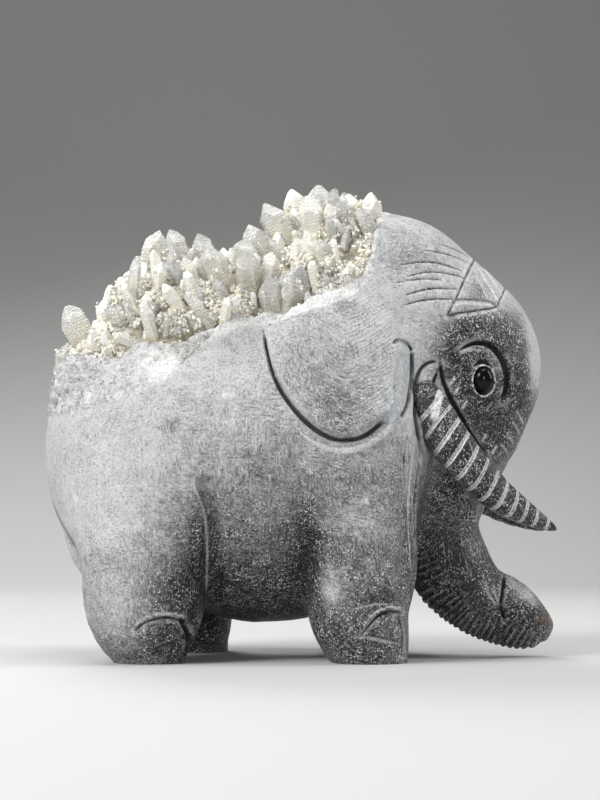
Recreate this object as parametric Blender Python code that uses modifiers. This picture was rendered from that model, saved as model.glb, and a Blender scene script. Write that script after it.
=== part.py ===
"""A stone elephant carved from one crystal specimen.

The carver left the quartz points standing on the back, carved the stone under them into the elephant,
and set a glass bead in a drilled hole on each side of the head. Metres, +Z up. The elephant looks along
+X, its right side faces -Y, and it stands on the plane Z = 0.
"""

import math
import random

import bmesh
import bpy
import numpy as np
from mathutils import Matrix, Vector, noise

# Driving dimensions, in metres
HEIGHT = 0.160  # floor to the highest crystal tip
EYE_TALL = 0.0084  # the glass bead is a flattened oval
EYE_WIDE = 0.0066
EYE_THICKNESS = 0.0052
EYE_STANDS_OUT = 0.0020  # how far the bead rises over the stone
EYE_GAP = 0.0003  # clearance of the drilled hole round and behind the bead

# The figure is drawn in parts of its own height: one part is about a millimetre
PARTS_HIGH = 160.0
PART = HEIGHT / PARTS_HIGH

EYE_AT = (72.2, 90.8)  # x and z of the beads, in parts
WIDEST = 60.0  # further out than any skin of the stone, in parts

BLANK_VOXEL = 1.2  # grain of the roughed-out block, in parts
BLANK_STEPS = 12  # balls laid along a limb between two of its stations
STONE_TRIANGLES = 5500  # left on the carved stone before the crystals are joined to it
FLOOR_CUT = 30.0  # depth of the block that trims the soles flat, in parts

# Rounded masses: name, centre, radii, tilt about Y in degrees, how softly it joins the ones before it
MASSES = [
    ("rump", (-38, 0, 69), (36, 41, 44), 0, 0),
    ("barrel", (-2, 0, 64), (50, 43, 52), 0, 14),
    ("belly", (4, 0, 32), (38, 26, 19.2), 0, 5),
    ("shoulders", (28, 0, 72), (30, 41, 48), 0, 14),
    ("crown", (40, 0, 118), (34, 30, 32), 0, 10),
    ("skull", (56, 0, 97), (38, 27, 38), 0, 8),
    ("bed_rear", (-55, 0, 90), (16.5, 31, 16.5), 0, 5),
    ("bed_hind", (-36, 0, 104), (20, 30, 27), 0, 6),
    ("bed_middle", (-12, 0, 107), (32, 31, 24), 0, 8),
    ("bed_fore", (25, 0, 124), (23, 26, 29), 0, 7),
    ("ear", (24, 30, 93), (22, 9.5, 27), -14, 4),
]

# Limbs: name, stations (x, y, z, radius) along it, width over depth, blend. Off the middle plane, a limb
# stands on both sides.
LIMBS = [
    ("front_leg", [(28, 20, 66, 24), (31, 24, 46, 19.3), (32, 26, 30, 18), (30.8, 26, 18, 16.8),
                   (33, 26, 8.5, 14.2), (35.6, 26, 1, 11.2), (36, 26, -8, 9.6)], 0.92, 7),
    ("hind_leg", [(-38, 18, 52, 26), (-37.5, 24, 34, 21.5), (-38, 26, 19, 19.4), (-36.6, 26.5, 9, 14.2),
                  (-35.4, 27, 1, 11), (-35, 27, -8, 9.6)], 0.88, 7),
    ("trunk", [(66, 0, 74, 19), (61, 0, 57, 15.5), (58.5, 0, 44, 14), (62.5, 0, 30, 14.3), (70.5, 0, 20.2, 12.4),
               (80.5, 0, 15.1, 11.8), (88, 0, 11.2, 8.7), (92.3, 0, 10.6, 5.2)], 0.88, 6),
    ("tusk", [(51, 19, 90, 4.5), (53, 25, 85, 5.5), (56.5, 26, 77.5, 7.2), (60.6, 26.5, 71, 7.3),
              (67.3, 25.5, 62.6, 6.8), (76.4, 22, 53.8, 5.6), (86.2, 17.5, 47.6, 3.9), (95, 14, 43.3, 1.5)], 1.0, 1.5),
    ("tail", [(-68.5, 0, 62, 3), (-68.2, 0, 52, 3), (-65.2, 0, 43, 3.2), (-62.5, 0, 35, 3.4),
              (-59.5, 0, 28.5, 2.4)], 1.1, 2),
]
LIMB_STEPS = 5  # straight pieces between two stations
LEFT_HIND_STEP = 11.5  # the left hind foot stands this much further forward
STEP_REACH = 45.0  # height above the sole over which that step dies out
STEP_ACROSS = 20.0  # width in the middle over which it turns from none to all

# The line on the flanks where the ground skin stops and the crystal bed begins: x, z
BED_EDGE = [(-75, 96), (-65.7, 99.5), (-57.6, 99), (-52.7, 98.5), (-46.2, 98), (-41, 102), (-31.7, 103),
            (-25.2, 102.5), (-22.2, 105.2), (-18, 107), (-10.8, 110), (-4.3, 111.8), (2.3, 113), (12.1, 115.8),
            (20.3, 119), (26.8, 121.6), (31.7, 124.5), (34.5, 130), (36, 138), (37.5, 146), (42, 152), (50, 160)]
BED_FRONT = 45.0  # no bed in front of this x
BED_LUMPS = 1.1  # height of the bed's knobbly crust

# The ear's free edge and the rest of its outline, seen from the side: x, z
EAR_RIM = [(0.4, 106.7), (1, 100.4), (2.9, 93.4), (5.8, 87), (9.6, 81.3), (14, 76.3), (18.4, 72.8), (23.4, 70.6),
           (28.5, 70.6), (32.3, 71.8), (36, 74.4), (39.5, 77.5)]
EAR_REST = [(41.5, 84), (42.5, 100), (42, 113), (30, 119), (14, 112)]
EAR_RAISED = 2.2
EAR_EDGE = 1.8  # width of the step at the ear's edge
EAR_FADE = 13.0  # the ear sinks back into the neck over this distance from its rim

# Cuts seen from the side: name, depth, half width, cut right over the middle, points (x, z)
CUTS = [
    ("ear_groove", 2.1, 2.2, False, EAR_RIM),
    ("ear_notch", 1.5, 1.3, False, [(42.3, 102.2), (44, 103.3), (46.5, 102.6), (48.6, 100.2)]),
    ("ear_front", 1.5, 1.3, False, [(48.4, 100), (48.6, 91), (46.9, 83), (44.6, 78)]),
    ("fold_low", 1.4, 1.4, False, [(57.2, 96.6), (54.7, 96.7), (52.1, 95.2), (50.3, 92), (49.6, 87.3), (49.5, 80.8),
                                   (50.4, 74.4), (51.9, 67.9)]),
    ("tusk_rim", 1.2, 1.2, False, [(56.8, 93.6), (54.9, 88.5), (53.6, 82.8), (53, 76), (53.8, 70)]),
    ("cheek", 1.6, 1.5, False, [(57.6, 97.4), (58.4, 91.5), (60, 87), (62.6, 82), (65.2, 77.4), (68.2, 73),
                                (71.6, 68.6), (75, 64)]),
    ("brow", 1.9, 1.7, False, [(64.2, 100.8), (66.8, 102.3), (69.4, 103.2), (72.3, 103.2), (75.3, 102), (77.8, 99.6),
                               (79.6, 96.2), (80.3, 92.3), (80, 88.3), (78.9, 84.4)]),
    ("cap_rear", 1.0, 1.0, True, [(72.6, 136), (68.9, 129.4), (66.2, 124), (63.2, 117.8), (59.7, 111.2)]),
    ("cap_side", 0.9, 1.0, True, [(59.9, 111.6), (63.9, 113), (67.8, 113.8), (71.8, 114.7), (74.7, 115.2),
                                  (78.3, 116.4)]),
    ("cap_front", 0.9, 1.0, True, [(82.4, 125), (80.2, 121.4), (78.8, 119), (77.5, 116.3)]),
    ("thigh", 1.8, 3.2, False, [(-18, 60), (-16.3, 50), (-15.4, 39), (-15.4, 27), (-16, 18)]),
    ("elbow", 1.6, 3.0, False, [(16.5, 42), (14, 31), (13, 19)]),
    ("nail_front", 1.4, 1.3, False, [(31, 9), (32.8, 11), (35.7, 14.4), (39.8, 16.5), (45, 16)]),
    ("sole_front", 1.0, 1.2, False, [(27.8, 8.8), (34.1, 8.4), (42.5, 6.6)]),
    ("toe_front", 1.0, 1.0, False, [(43.6, 15.2), (45, 8.8), (44.6, 2)]),
    ("nail_hind", 1.5, 1.3, False, [(-40, 10.6), (-35.1, 13.8), (-28.8, 14.7), (-23.8, 13.1)]),
    ("toe_hind", 1.8, 1.3, False, [(-25.2, 14), (-23.2, 9.8), (-22.9, 5.8), (-24.2, 1.5)]),
    ("lip", 1.3, 1.2, True, [(80.8, 27.8), (79.8, 24.5), (79.1, 20.5), (78.5, 17.5), (79.8, 12)]),
]

TRUNK_FOLDS = 17  # ridges across the underside of the trunk
TRUNK_FOLD_HEIGHT = 0.45
TRUNK_FOLDED = 0.62  # share of the trunk's length, from its tip, that the ridges are spread over

# Quartz points that make the skyline: foot, tip, radius
POINTS = [
    ((-57, -4, 100), (-67.5, -4, 117.5), 4.8),
    ((-50.4, -6, 110), (-52, -6, 124.8), 2.6),
    ((-38.5, -8, 120), (-43.3, -8, 134.2), 3.5),
    ((-38.5, -9, 120), (-35, -9, 142.8), 4.8),
    ((-27, 2, 124), (-32.5, 2, 145), 4.6),
    ((-19, -6, 121), (-22.5, -6, 142.2), 4.9),
    ((-11, -10, 122), (-14.5, -10, 134.8), 2.9),
    ((-9, -9, 122), (-6.3, -9, 140.2), 4.4),
    ((6, -4, 128), (-5.4, -4, 145.6), 4.8),
    ((13, -6, 131), (-0.3, -6, 152.4), 4.8),
    ((15, -3, 134), (9, -3, 158), 4.3),
    ((20, 0, 134), (18.2, 0, 160), 6.8),
    ((27, 2, 134), (27.6, 2, 157.6), 6.6),
    ((32, 4, 134), (35, 4, 155.6), 5.8),
    ((19, -16, 121), (15.7, -16, 144), 4.7),
    ((12, -15, 126), (11.2, -15, 140), 3.0),
    ((28.7, -25, 118), (28.4, -26, 129.5), 2.4),
    ((7, -24, 111), (12.4, -27, 128), 6.2),
    ((4.4, -25, 110), (1.6, -28, 124.5), 4.4),
    ((-34, -17, 104), (-37.4, -21, 118), 3.6),
    ((-44, -15, 103), (-48, -19, 116.5), 3.1),
]
POINT_SLOPE = 0.95  # length of a point's pyramid over its radius

# Quartz points that fill the bed between those
FILL_SEED = 41
FILL_ROWS = 15  # along the back
FILL_ACROSS = 5  # across it
FILL_LENGTH = (5.0, 12.0)
FILL_RADIUS = (2.3, 4.3)
FILL_REACH = 25.0  # how far out from the middle plane they grow
FILL_INSET = (4.0, 6.0)  # how far they keep from the skyline's rear end and from the bed's front
FILL_ABOVE_EDGE = 2.0  # how high over the bed's edge they begin
FILL_SUNK = 5.0  # how deep their feet are in the bed
FILL_SHORTEST = 3.0
FILL_LEAN = (-0.45, 0.2)  # how far they lean forward, over their rise
FILL_SPLAY = 34.0  # distance from the middle plane at which they would lean out at 45 degrees
FILL_SWAY = 0.25
# The skyline that the filling points keep under: x, z
SKYLINE = [(-72, 92), (-64, 101), (-56, 108), (-50, 115), (-45, 127), (-38, 137), (-20, 137), (-8, 137),
           (4, 146), (11, 155), (34, 155), (42, 153)]

STONE_COLOUR = (0.115, 0.12, 0.125, 1)
QUARTZ_COLOUR = (0.72, 0.70, 0.64, 1)
GLASS_COLOUR = (0.004, 0.004, 0.004, 1)


def clear_scene():
    for old in list(bpy.data.objects):
        bpy.data.objects.remove(old, do_unlink=True)


def new_collection(name, rendered=True):
    collection = bpy.data.collections.new(name)
    collection.hide_render = not rendered
    bpy.context.scene.collection.children.link(collection)
    return collection


def new_material(name, colour, roughness, metallic=0.0):
    material = bpy.data.materials.new(name)
    material.use_nodes = True
    shader = material.node_tree.nodes["Principled BSDF"]
    shader.inputs["Base Color"].default_value = colour
    shader.inputs["Roughness"].default_value = roughness
    shader.inputs["Metallic"].default_value = metallic
    return material


def object_from(bm, name, collection):
    mesh = bpy.data.meshes.new(name)
    bm.to_mesh(mesh)
    bm.free()
    made = bpy.data.objects.new(name, mesh)
    collection.objects.link(made)
    return made


# The figure's form, as a distance field that is below zero inside the stone


def smooth_path(stations, steps):
    """Points of a Catmull-Rom curve through the stations, whatever each station holds."""
    stations = np.array(stations, float)
    ends = np.vstack([2 * stations[0] - stations[1], stations, 2 * stations[-1] - stations[-2]])
    found = []
    for a, b, c, d in zip(ends, ends[1:], ends[2:], ends[3:]):
        for t in np.arange(steps) / steps:
            found.append(0.5 * (2 * b + (c - a) * t + (2 * a - 5 * b + 4 * c - d) * t**2
                                + (3 * b - a - 3 * c + d) * t**3))
    return np.vstack([found, stations[-1:]])


def nearest_on_path(points, path):
    """Distance from each point to the path's skin, and how far along the path that is, from 0 to 1."""
    best = np.full(len(points), np.inf)
    along = np.zeros(len(points))
    start = 0.0
    for a, b in zip(path, path[1:]):
        step = b[:3] - a[:3]
        length = np.linalg.norm(step)
        t = np.clip((points - a[:3]) @ step / length**2, 0, 1)
        gap = np.linalg.norm(points - a[:3] - t[:, None] * step, axis=1) - a[3] - t * (b[3] - a[3])
        along = np.where(gap < best, start + t * length, along)
        best = np.minimum(best, gap)
        start += length
    return best, along / start


def mass_distance(points, centre, radii, tilt):
    turn = math.radians(tilt)
    local = points - np.array(centre, float)
    turned = np.column_stack([
        local[:, 0] * math.cos(turn) - local[:, 2] * math.sin(turn),
        local[:, 1],
        local[:, 0] * math.sin(turn) + local[:, 2] * math.cos(turn),
    ])
    radii = np.array(radii, float)
    k0 = np.linalg.norm(turned / radii, axis=1)
    k1 = np.linalg.norm(turned / radii**2, axis=1)
    return k0 * (k0 - 1) / np.maximum(k1, 1e-9)


def squeezed(points, path, width):
    """The points with their distance from the limb's own plane stretched, so that a round limb becomes oval."""
    plane = path[:, 1].mean()
    moved = points.copy()
    moved[:, 1] = plane + (points[:, 1] - plane) / width
    return moved


def smooth_min(a, b, blend):
    if blend <= 0:
        return np.minimum(a, b)
    h = np.maximum(blend - np.abs(a - b), 0) / blend
    return np.minimum(a, b) - h * h * blend / 4


def limb_paths():
    return {name: smooth_path(stations, LIMB_STEPS) for name, stations, _, _ in LIMBS}


PATHS = limb_paths()


def step_ahead(y, z):
    """How far forward the hind leg stands here: all of the step at the left sole, none on the right."""
    return LEFT_HIND_STEP * np.clip(1 - z / STEP_REACH, 0, 1) * np.clip(y / STEP_ACROSS + 0.5, 0, 1)


def stepped(points, name):
    """The left hind foot stands forward of the right one."""
    folded = points.copy()
    folded[:, 1] = np.abs(points[:, 1])
    if name == "hind_leg":
        folded[:, 0] -= step_ahead(points[:, 1], points[:, 2])
    return folded


def field(points):
    """Distance in parts from the figure's surface, before any carving."""
    folded = stepped(points, "")
    value = None
    for _, centre, radii, tilt, blend in MASSES:
        here = mass_distance(folded, centre, radii, tilt)
        value = here if value is None else smooth_min(value, here, blend)
    for name, _, width, blend in LIMBS:
        path = PATHS[name]
        local = stepped(points, name)
        reach = path[:, 3].max() + 2 * blend + 4
        low, high = path[:, :3].min(0) - reach, path[:, :3].max(0) + reach
        near = np.all((local > low) & (local < high), axis=1)
        gap, _ = nearest_on_path(squeezed(local[near], path, width), path)
        here = value[near]
        value[near] = smooth_min(here, gap * min(1, width), blend)
    return value


def slope(points, step=0.05):
    """Unit normals of the field."""
    rise = np.column_stack([
        field(points + np.eye(3)[axis] * step) - field(points - np.eye(3)[axis] * step) for axis in range(3)
    ])
    return rise / np.maximum(np.linalg.norm(rise, axis=1, keepdims=True), 1e-9)


def settle(points, rounds=4):
    """Moves points that lie near the surface onto it."""
    for _ in range(rounds):
        points = points - slope(points) * np.clip(field(points), -2, 2)[:, None]
    return points


# Carving: how far the surface moves along its normal


def smooth_step(value, low, high):
    t = np.clip((value - low) / (high - low), 0, 1)
    return t * t * (3 - 2 * t)


def line_distance(flat, line):
    """Distance in the side view from each point to a line, and its place along it from 0 to 1."""
    line = np.array(line, float)
    lengths = np.linalg.norm(np.diff(line, axis=0), axis=1)
    best = np.full(len(flat), np.inf)
    place = np.zeros(len(flat))
    start = 0.0
    for a, b, length in zip(line, line[1:], lengths):
        t = np.clip((flat - a) @ (b - a) / length**2, 0, 1)
        gap = np.linalg.norm(flat - a - t[:, None] * (b - a), axis=1)
        place = np.where(gap < best, (start + t * length) / lengths.sum(), place)
        best = np.minimum(best, gap)
        start += length
    return best, place


def inside_outline(flat, outline):
    inside = np.zeros(len(flat), bool)
    x, z = flat[:, 0], flat[:, 1]
    for (ax, az), (bx, bz) in zip(outline, outline[1:] + outline[:1]):
        crosses = (az > z) != (bz > z)
        inside ^= crosses & (x < ax + (z - az) * (bx - ax) / (bz - az if bz != az else 1e-9))
    return inside


def cuts(points, normals):
    """Grooves cut along the lines in CUTS."""
    flat = points[:, [0, 2]]
    faces_out = smooth_step(normals[:, 1] * np.sign(points[:, 1]), 0.05, 0.4)
    depth = np.zeros(len(points))
    for _, deep, half_width, over_middle, line in CUTS:
        line = smooth_path(line, 4)
        gap, place = line_distance(flat, line)
        ends = smooth_step(place, 0, 0.1) * smooth_step(1 - place, 0, 0.1) * 0.7 + 0.3
        cut = deep * np.clip(1 - gap / half_width, 0, 1) ** 1.3 * ends
        depth = np.maximum(depth, cut if over_middle else cut * faces_out)
    return -depth


def ear_relief(points, normals):
    """The ear stands up from the neck along its rim and sinks back into it further in."""
    flat = points[:, [0, 2]]
    inside = inside_outline(flat, EAR_RIM + EAR_REST)
    from_rim, _ = line_distance(flat, smooth_path(EAR_RIM, 4))
    lift = smooth_step(from_rim, 0, EAR_EDGE) * np.exp(-((from_rim / EAR_FADE) ** 2))
    return EAR_RAISED * lift * inside * (normals[:, 1] * np.sign(points[:, 1]) > 0.3)


def on_limb(points, name):
    """How far along a limb the points are, from 0 to 1, and how much they are its surface, from 0 to 1."""
    path = PATHS[name]
    width = next(width for limb, _, width, _ in LIMBS if limb == name)
    gap, along = nearest_on_path(squeezed(stepped(points, name), path, width), path)
    return along, 1 - smooth_step(np.abs(gap), 0.6, 2)


def trunk_folds(points, normals):
    """Ridges across the underside of the trunk, below the tusks."""
    along, on_it = on_limb(points, "trunk")
    under = smooth_step(-normals[:, 2] - 0.5 * normals[:, 0], 0.1, 0.6)
    low = smooth_step(along, 0.9 * (1 - TRUNK_FOLDED), 1.2 * (1 - TRUNK_FOLDED))
    wave = np.cos(along * TRUNK_FOLDS * 2 * math.pi / TRUNK_FOLDED)
    return TRUNK_FOLD_HEIGHT * wave * under * low * on_it


def bed_share(points):
    """1 on the crystal bed and 0 on the ground skin."""
    edge = np.interp(points[:, 0], *np.array(BED_EDGE, float).T)
    return smooth_step(points[:, 2], edge - 0.4, edge + 1.6) * (points[:, 0] < BED_FRONT)


def bed_lumps(points):
    lumps = np.array([noise.noise(Vector(p) * 0.16) + 0.5 * noise.noise(Vector(p) * 0.37) for p in points])
    return BED_LUMPS * lumps * bed_share(points)


def carved(points):
    """The surface points after carving."""
    normals = slope(points)
    move = cuts(points, normals) + ear_relief(points, normals) + trunk_folds(points, normals) + bed_lumps(points)
    return points + normals * move[:, None]


# Building the solids


def both_sides(y):
    return [y] if y == 0 else [y, -y]


def unit_ball():
    bm = bmesh.new()
    bmesh.ops.create_icosphere(bm, subdivisions=4, radius=1)
    points = np.array([v.co for v in bm.verts])
    faces = np.array([[v.index for v in face.verts] for face in bm.faces])
    bm.free()
    return points, faces


def rough_block(collection):
    """The masses and limbs as overlapping balls, welded into one skin by a voxel remesh."""
    places = []
    for _, centre, radii, tilt, _ in MASSES:
        for y in both_sides(centre[1]):
            places.append(Matrix.Translation((centre[0], y, centre[2])) @ Matrix.Rotation(math.radians(-tilt), 4, "Y")
                          @ Matrix.Diagonal((*radii, 1)))
    for name, stations, width, _ in LIMBS:
        for x, y, z, radius in smooth_path(stations, BLANK_STEPS):
            for side_y in both_sides(y):
                ahead = step_ahead(side_y, z) if name == "hind_leg" else 0.0
                places.append(Matrix.Translation((x + ahead, side_y, z))
                              @ Matrix.Diagonal((radius, radius * width, radius, 1)))
    ball, ball_faces = unit_ball()
    points = np.vstack([ball @ np.array(place.to_3x3()).T + np.array(place.translation) for place in places])
    faces = np.vstack([ball_faces + number * len(ball) for number in range(len(places))])
    mesh = bpy.data.meshes.new("rough_block")
    mesh.from_pydata(points, [], faces)
    block = bpy.data.objects.new("rough_block", mesh)
    collection.objects.link(block)
    remesh = block.modifiers.new("weld", "REMESH")
    remesh.mode = "VOXEL"
    remesh.voxel_size = BLANK_VOXEL
    return block


def evaluated_mesh(made):
    graph = bpy.context.evaluated_depsgraph_get()
    graph.update()
    return bpy.data.meshes.new_from_object(made.evaluated_get(graph), depsgraph=graph)


def carve_stone(block, collection):
    """The carved skin, still in parts."""
    mesh = evaluated_mesh(block)
    points = np.empty(len(mesh.vertices) * 3)
    mesh.vertices.foreach_get("co", points)
    points = carved(settle(points.reshape(-1, 3)))
    mesh.vertices.foreach_set("co", points.ravel())
    mesh.update()
    skin = bpy.data.objects.new("carved_skin", mesh)
    collection.objects.link(skin)
    return skin


def thinned(skin, name, collection):
    """The skin brought down to few faces, most of them where it curves, in metres."""
    thin = skin.modifiers.new("thin_out", "DECIMATE")
    thin.ratio = STONE_TRIANGLES / (2 * len(skin.data.polygons))
    thin.use_collapse_triangulate = True
    mesh = evaluated_mesh(skin)
    mesh.transform(Matrix.Scale(PART, 4))
    mesh.name = name
    stone = bpy.data.objects.new(name, mesh)
    collection.objects.link(stone)
    return stone


def quartz_point(name, foot, tip, radius, seed, collection):
    """A six-sided prism with an uneven pyramid on it, from foot to tip."""
    chance = random.Random(seed)
    axis = Vector(tip) - Vector(foot)
    shaft = axis.length - POINT_SLOPE * radius
    bm = bmesh.new()
    bmesh.ops.create_cone(bm, cap_ends=True, segments=6, radius1=radius, radius2=radius * 0.9, depth=shaft)
    bmesh.ops.translate(bm, verts=bm.verts, vec=(0, 0, shaft / 2))
    bm.faces.ensure_lookup_table()
    top = max(bm.faces, key=lambda face: face.calc_center_median().z)
    made = bmesh.ops.poke(bm, faces=[top], offset=0)
    lean = chance.uniform(0, 2 * math.pi)
    made["verts"][0].co = (0.35 * radius * math.cos(lean), 0.35 * radius * math.sin(lean), axis.length)
    flatness = chance.uniform(0.75, 1.0)
    bmesh.ops.scale(bm, verts=bm.verts, vec=(1, flatness, 1))
    bmesh.ops.rotate(bm, verts=bm.verts, matrix=Matrix.Rotation(chance.uniform(0, math.pi), 3, "Z"))
    place = Matrix.Translation(foot) @ axis.to_track_quat("Z", "Y").to_matrix().to_4x4()
    bmesh.ops.transform(bm, verts=bm.verts, matrix=Matrix.Scale(PART, 4) @ place)
    return object_from(bm, name, collection)


def bed_heights(x, y):
    """Height of the crystal bed over each (x, y), found by halving the way down to the field."""
    low, high = np.full(len(x), PARTS_HIGH / 3), np.full(len(x), PARTS_HIGH)
    for _ in range(20):
        middle = (low + high) / 2
        inside = field(np.column_stack([x, y, middle])) < 0
        low, high = np.where(inside, middle, low), np.where(inside, high, middle)
    return low


def filling_points():
    """Foot, tip and radius of each point that fills the bed, in rows along the back."""
    chance = random.Random(FILL_SEED)
    start, end = SKYLINE[0][0] + FILL_INSET[0], BED_FRONT - FILL_INSET[1]
    spots = []
    for row in range(FILL_ROWS):
        for column in range(FILL_ACROSS):
            x = start + (end - start) * (row + chance.uniform(0.1, 0.9)) / FILL_ROWS
            y = FILL_REACH * (2 * (column + chance.uniform(0.15, 0.85)) / FILL_ACROSS - 1)
            spots.append((x, y))
    x, y = np.array(spots).T
    z = bed_heights(x, y)
    grows = z > np.interp(x, *np.array(BED_EDGE, float).T) + FILL_ABOVE_EDGE
    found = []
    for x, y, z in zip(x[grows], y[grows], z[grows]):
        length = chance.uniform(*FILL_LENGTH)
        radius = chance.uniform(*FILL_RADIUS)
        ahead = chance.uniform(*FILL_LEAN)
        sideways = y / FILL_SPLAY + chance.uniform(-FILL_SWAY, FILL_SWAY)
        lean = Vector((ahead, sideways, 1)).normalized()
        foot = Vector((x, y, z)) - lean * FILL_SUNK
        tip = Vector((x, y, z)) + lean * length
        over = tip.z - np.interp(tip.x, *np.array(SKYLINE, float).T)
        if over > 0:
            tip -= lean * min(over / lean.z, length - FILL_SHORTEST)
        found.append((foot, tip, radius))
    return found


def add_boolean(made, name, operation, other):
    modifier = made.modifiers.new(name, "BOOLEAN")
    modifier.operation = operation
    modifier.solver = "EXACT"
    if isinstance(other, bpy.types.Collection):
        modifier.operand_type = "COLLECTION"
        modifier.collection = other
    else:
        modifier.object = other
    return modifier


def floor_block(collection):
    bm = bmesh.new()
    size = 4 * FLOOR_CUT * PART * 2
    place = Matrix.Translation((0, 0, -FLOOR_CUT * PART / 2)) @ Matrix.Diagonal((size, size, FLOOR_CUT * PART, 1))
    bmesh.ops.create_cube(bm, size=1, matrix=place)
    return object_from(bm, "floor_block", collection)


def eye_place(side):
    """Frame of a bead, in metres: its origin on the stone's skin and Z along the outward normal."""
    x, z = EYE_AT
    inner, outer = 0.0, WIDEST
    for _ in range(30):
        middle = (inner + outer) / 2
        if field(np.array([[x, middle, z]]))[0] < 0:
            inner = middle
        else:
            outer = middle
    spot = np.array([[x, inner, z]])
    normal = slope(spot)[0]
    point = Vector((x, inner * side, z)) * PART
    out = Vector((normal[0], normal[1] * side, normal[2]))
    return Matrix.Translation(point) @ out.to_track_quat("Z", "X").to_matrix().to_4x4()


def make_eye(name, side, collection, cutters):
    """The bead, and the cutter for the hole that holds it with clearance all round."""
    place = eye_place(side)
    sink = EYE_STANDS_OUT - EYE_THICKNESS / 2
    bm = bmesh.new()
    shape = Matrix.Translation((0, 0, sink)) @ Matrix.Diagonal((EYE_TALL / 2, EYE_WIDE / 2, EYE_THICKNESS / 2, 1))
    bmesh.ops.create_uvsphere(bm, u_segments=16, v_segments=8, radius=1, matrix=place @ shape)
    bead = object_from(bm, name, collection)
    bead.data.shade_smooth()

    bm = bmesh.new()
    floor = EYE_STANDS_OUT - EYE_THICKNESS - EYE_GAP
    depth = EYE_TALL - floor
    oval = Matrix.Diagonal((EYE_TALL / 2 + EYE_GAP, EYE_WIDE / 2 + EYE_GAP, 1, 1))
    drill = Matrix.Translation((0, 0, floor + depth / 2)) @ oval
    bmesh.ops.create_cone(bm, cap_ends=True, segments=24, radius1=1, radius2=1, depth=depth, matrix=place @ drill)
    return bead, object_from(bm, name + "_drill", cutters)


def centre_on_origin(solids):
    """Puts the middle of the whole object's box over the origin."""
    graph = bpy.context.evaluated_depsgraph_get()
    graph.update()
    corners = [made.evaluated_get(graph).matrix_world @ Vector(corner)
               for made in solids for corner in made.evaluated_get(graph).bound_box]
    middle = [(min(c[axis] for c in corners) + max(c[axis] for c in corners)) / 2 for axis in (0, 1)]
    return Vector((-middle[0], -middle[1], 0))


def main():
    clear_scene()
    elephant = new_collection("crystal_elephant")
    cutters = new_collection("cutters", rendered=False)
    crystals = new_collection("quartz_points", rendered=False)

    stone = thinned(carve_stone(rough_block(cutters), cutters), "elephant", elephant)
    stone.data.materials.append(new_material("carved_stone", STONE_COLOUR, 0.6))
    quartz = new_material("quartz", QUARTZ_COLOUR, 0.15)
    stone.data.materials.append(quartz)

    everything = POINTS + filling_points()
    for number, (foot, tip, radius) in enumerate(everything):
        made = quartz_point(f"quartz_{number:02d}", foot, tip, radius, number, crystals)
        made.data.materials.append(quartz)
    add_boolean(stone, "crystals", "UNION", crystals)

    glass = new_material("black_glass", GLASS_COLOUR, 0.05)
    beads = []
    for name, side in (("eye_right", -1), ("eye_left", 1)):
        bead, drill = make_eye(name, side, elephant, cutters)
        bead.data.materials.append(glass)
        add_boolean(stone, name + "_hole", "DIFFERENCE", drill)
        beads.append(bead)
    add_boolean(stone, "soles", "DIFFERENCE", floor_block(cutters))
    for helper in list(cutters.objects) + list(crystals.objects):
        helper.hide_render = True
        helper.display_type = "WIRE"

    finished = evaluated_mesh(stone)
    finished.shade_smooth()
    finished.set_sharp_from_angle(angle=math.radians(32))
    stone.modifiers.clear()
    stone.data = finished
    shift = centre_on_origin([stone, *beads])
    for made in (stone, *beads):
        made.data.transform(Matrix.Translation(shift))
        made.data.update()


main()
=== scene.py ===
"""The looks of the crystal elephant: carved and polished stone, quartz points, their crust and glass eyes.

The stone is worked out again here from the same named forms as the solid, at a finer grain, so that the
incised lines, the drilled eye holes and the crystal bed are real relief. Lengths are in parts of the
figure's height, about a millimetre each, until they are laid on the frame in metres.
"""

import math
import random
from contextlib import contextmanager

import bmesh
import bpy
import numpy as np
from mathutils import Matrix, Vector, noise


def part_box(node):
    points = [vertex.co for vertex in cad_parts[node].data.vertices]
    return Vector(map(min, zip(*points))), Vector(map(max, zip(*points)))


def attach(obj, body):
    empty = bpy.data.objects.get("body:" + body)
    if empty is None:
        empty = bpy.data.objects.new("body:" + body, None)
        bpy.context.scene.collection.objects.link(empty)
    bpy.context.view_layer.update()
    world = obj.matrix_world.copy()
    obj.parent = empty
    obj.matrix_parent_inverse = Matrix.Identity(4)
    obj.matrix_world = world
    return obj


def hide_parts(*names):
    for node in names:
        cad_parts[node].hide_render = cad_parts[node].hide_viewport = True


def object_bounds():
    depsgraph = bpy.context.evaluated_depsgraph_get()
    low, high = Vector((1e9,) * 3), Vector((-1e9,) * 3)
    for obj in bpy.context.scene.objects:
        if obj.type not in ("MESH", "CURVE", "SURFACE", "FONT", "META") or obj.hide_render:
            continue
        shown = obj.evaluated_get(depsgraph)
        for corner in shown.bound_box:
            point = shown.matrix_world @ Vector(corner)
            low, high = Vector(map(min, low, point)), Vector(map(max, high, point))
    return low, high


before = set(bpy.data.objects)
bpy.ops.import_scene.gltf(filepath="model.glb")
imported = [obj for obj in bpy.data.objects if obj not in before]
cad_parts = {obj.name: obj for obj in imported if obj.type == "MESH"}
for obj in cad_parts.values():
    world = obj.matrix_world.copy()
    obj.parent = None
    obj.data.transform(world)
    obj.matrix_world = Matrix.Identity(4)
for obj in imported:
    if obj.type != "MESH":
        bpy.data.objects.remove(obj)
CAD_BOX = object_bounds()
NODE = "elephant"

HEIGHT = 0.160
PARTS_HIGH = 160.0
PART = HEIGHT / PARTS_HIGH

EYE_AT = (72.2, 90.8)
EYE_TALL = 8.4
EYE_WIDE = 6.6
EYE_THICKNESS = 5.2
EYE_STANDS_OUT = 2.0
EYE_GAP = 0.3
EYE_HOLE = 2.8

# The figure's forms, as in the solid

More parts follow.
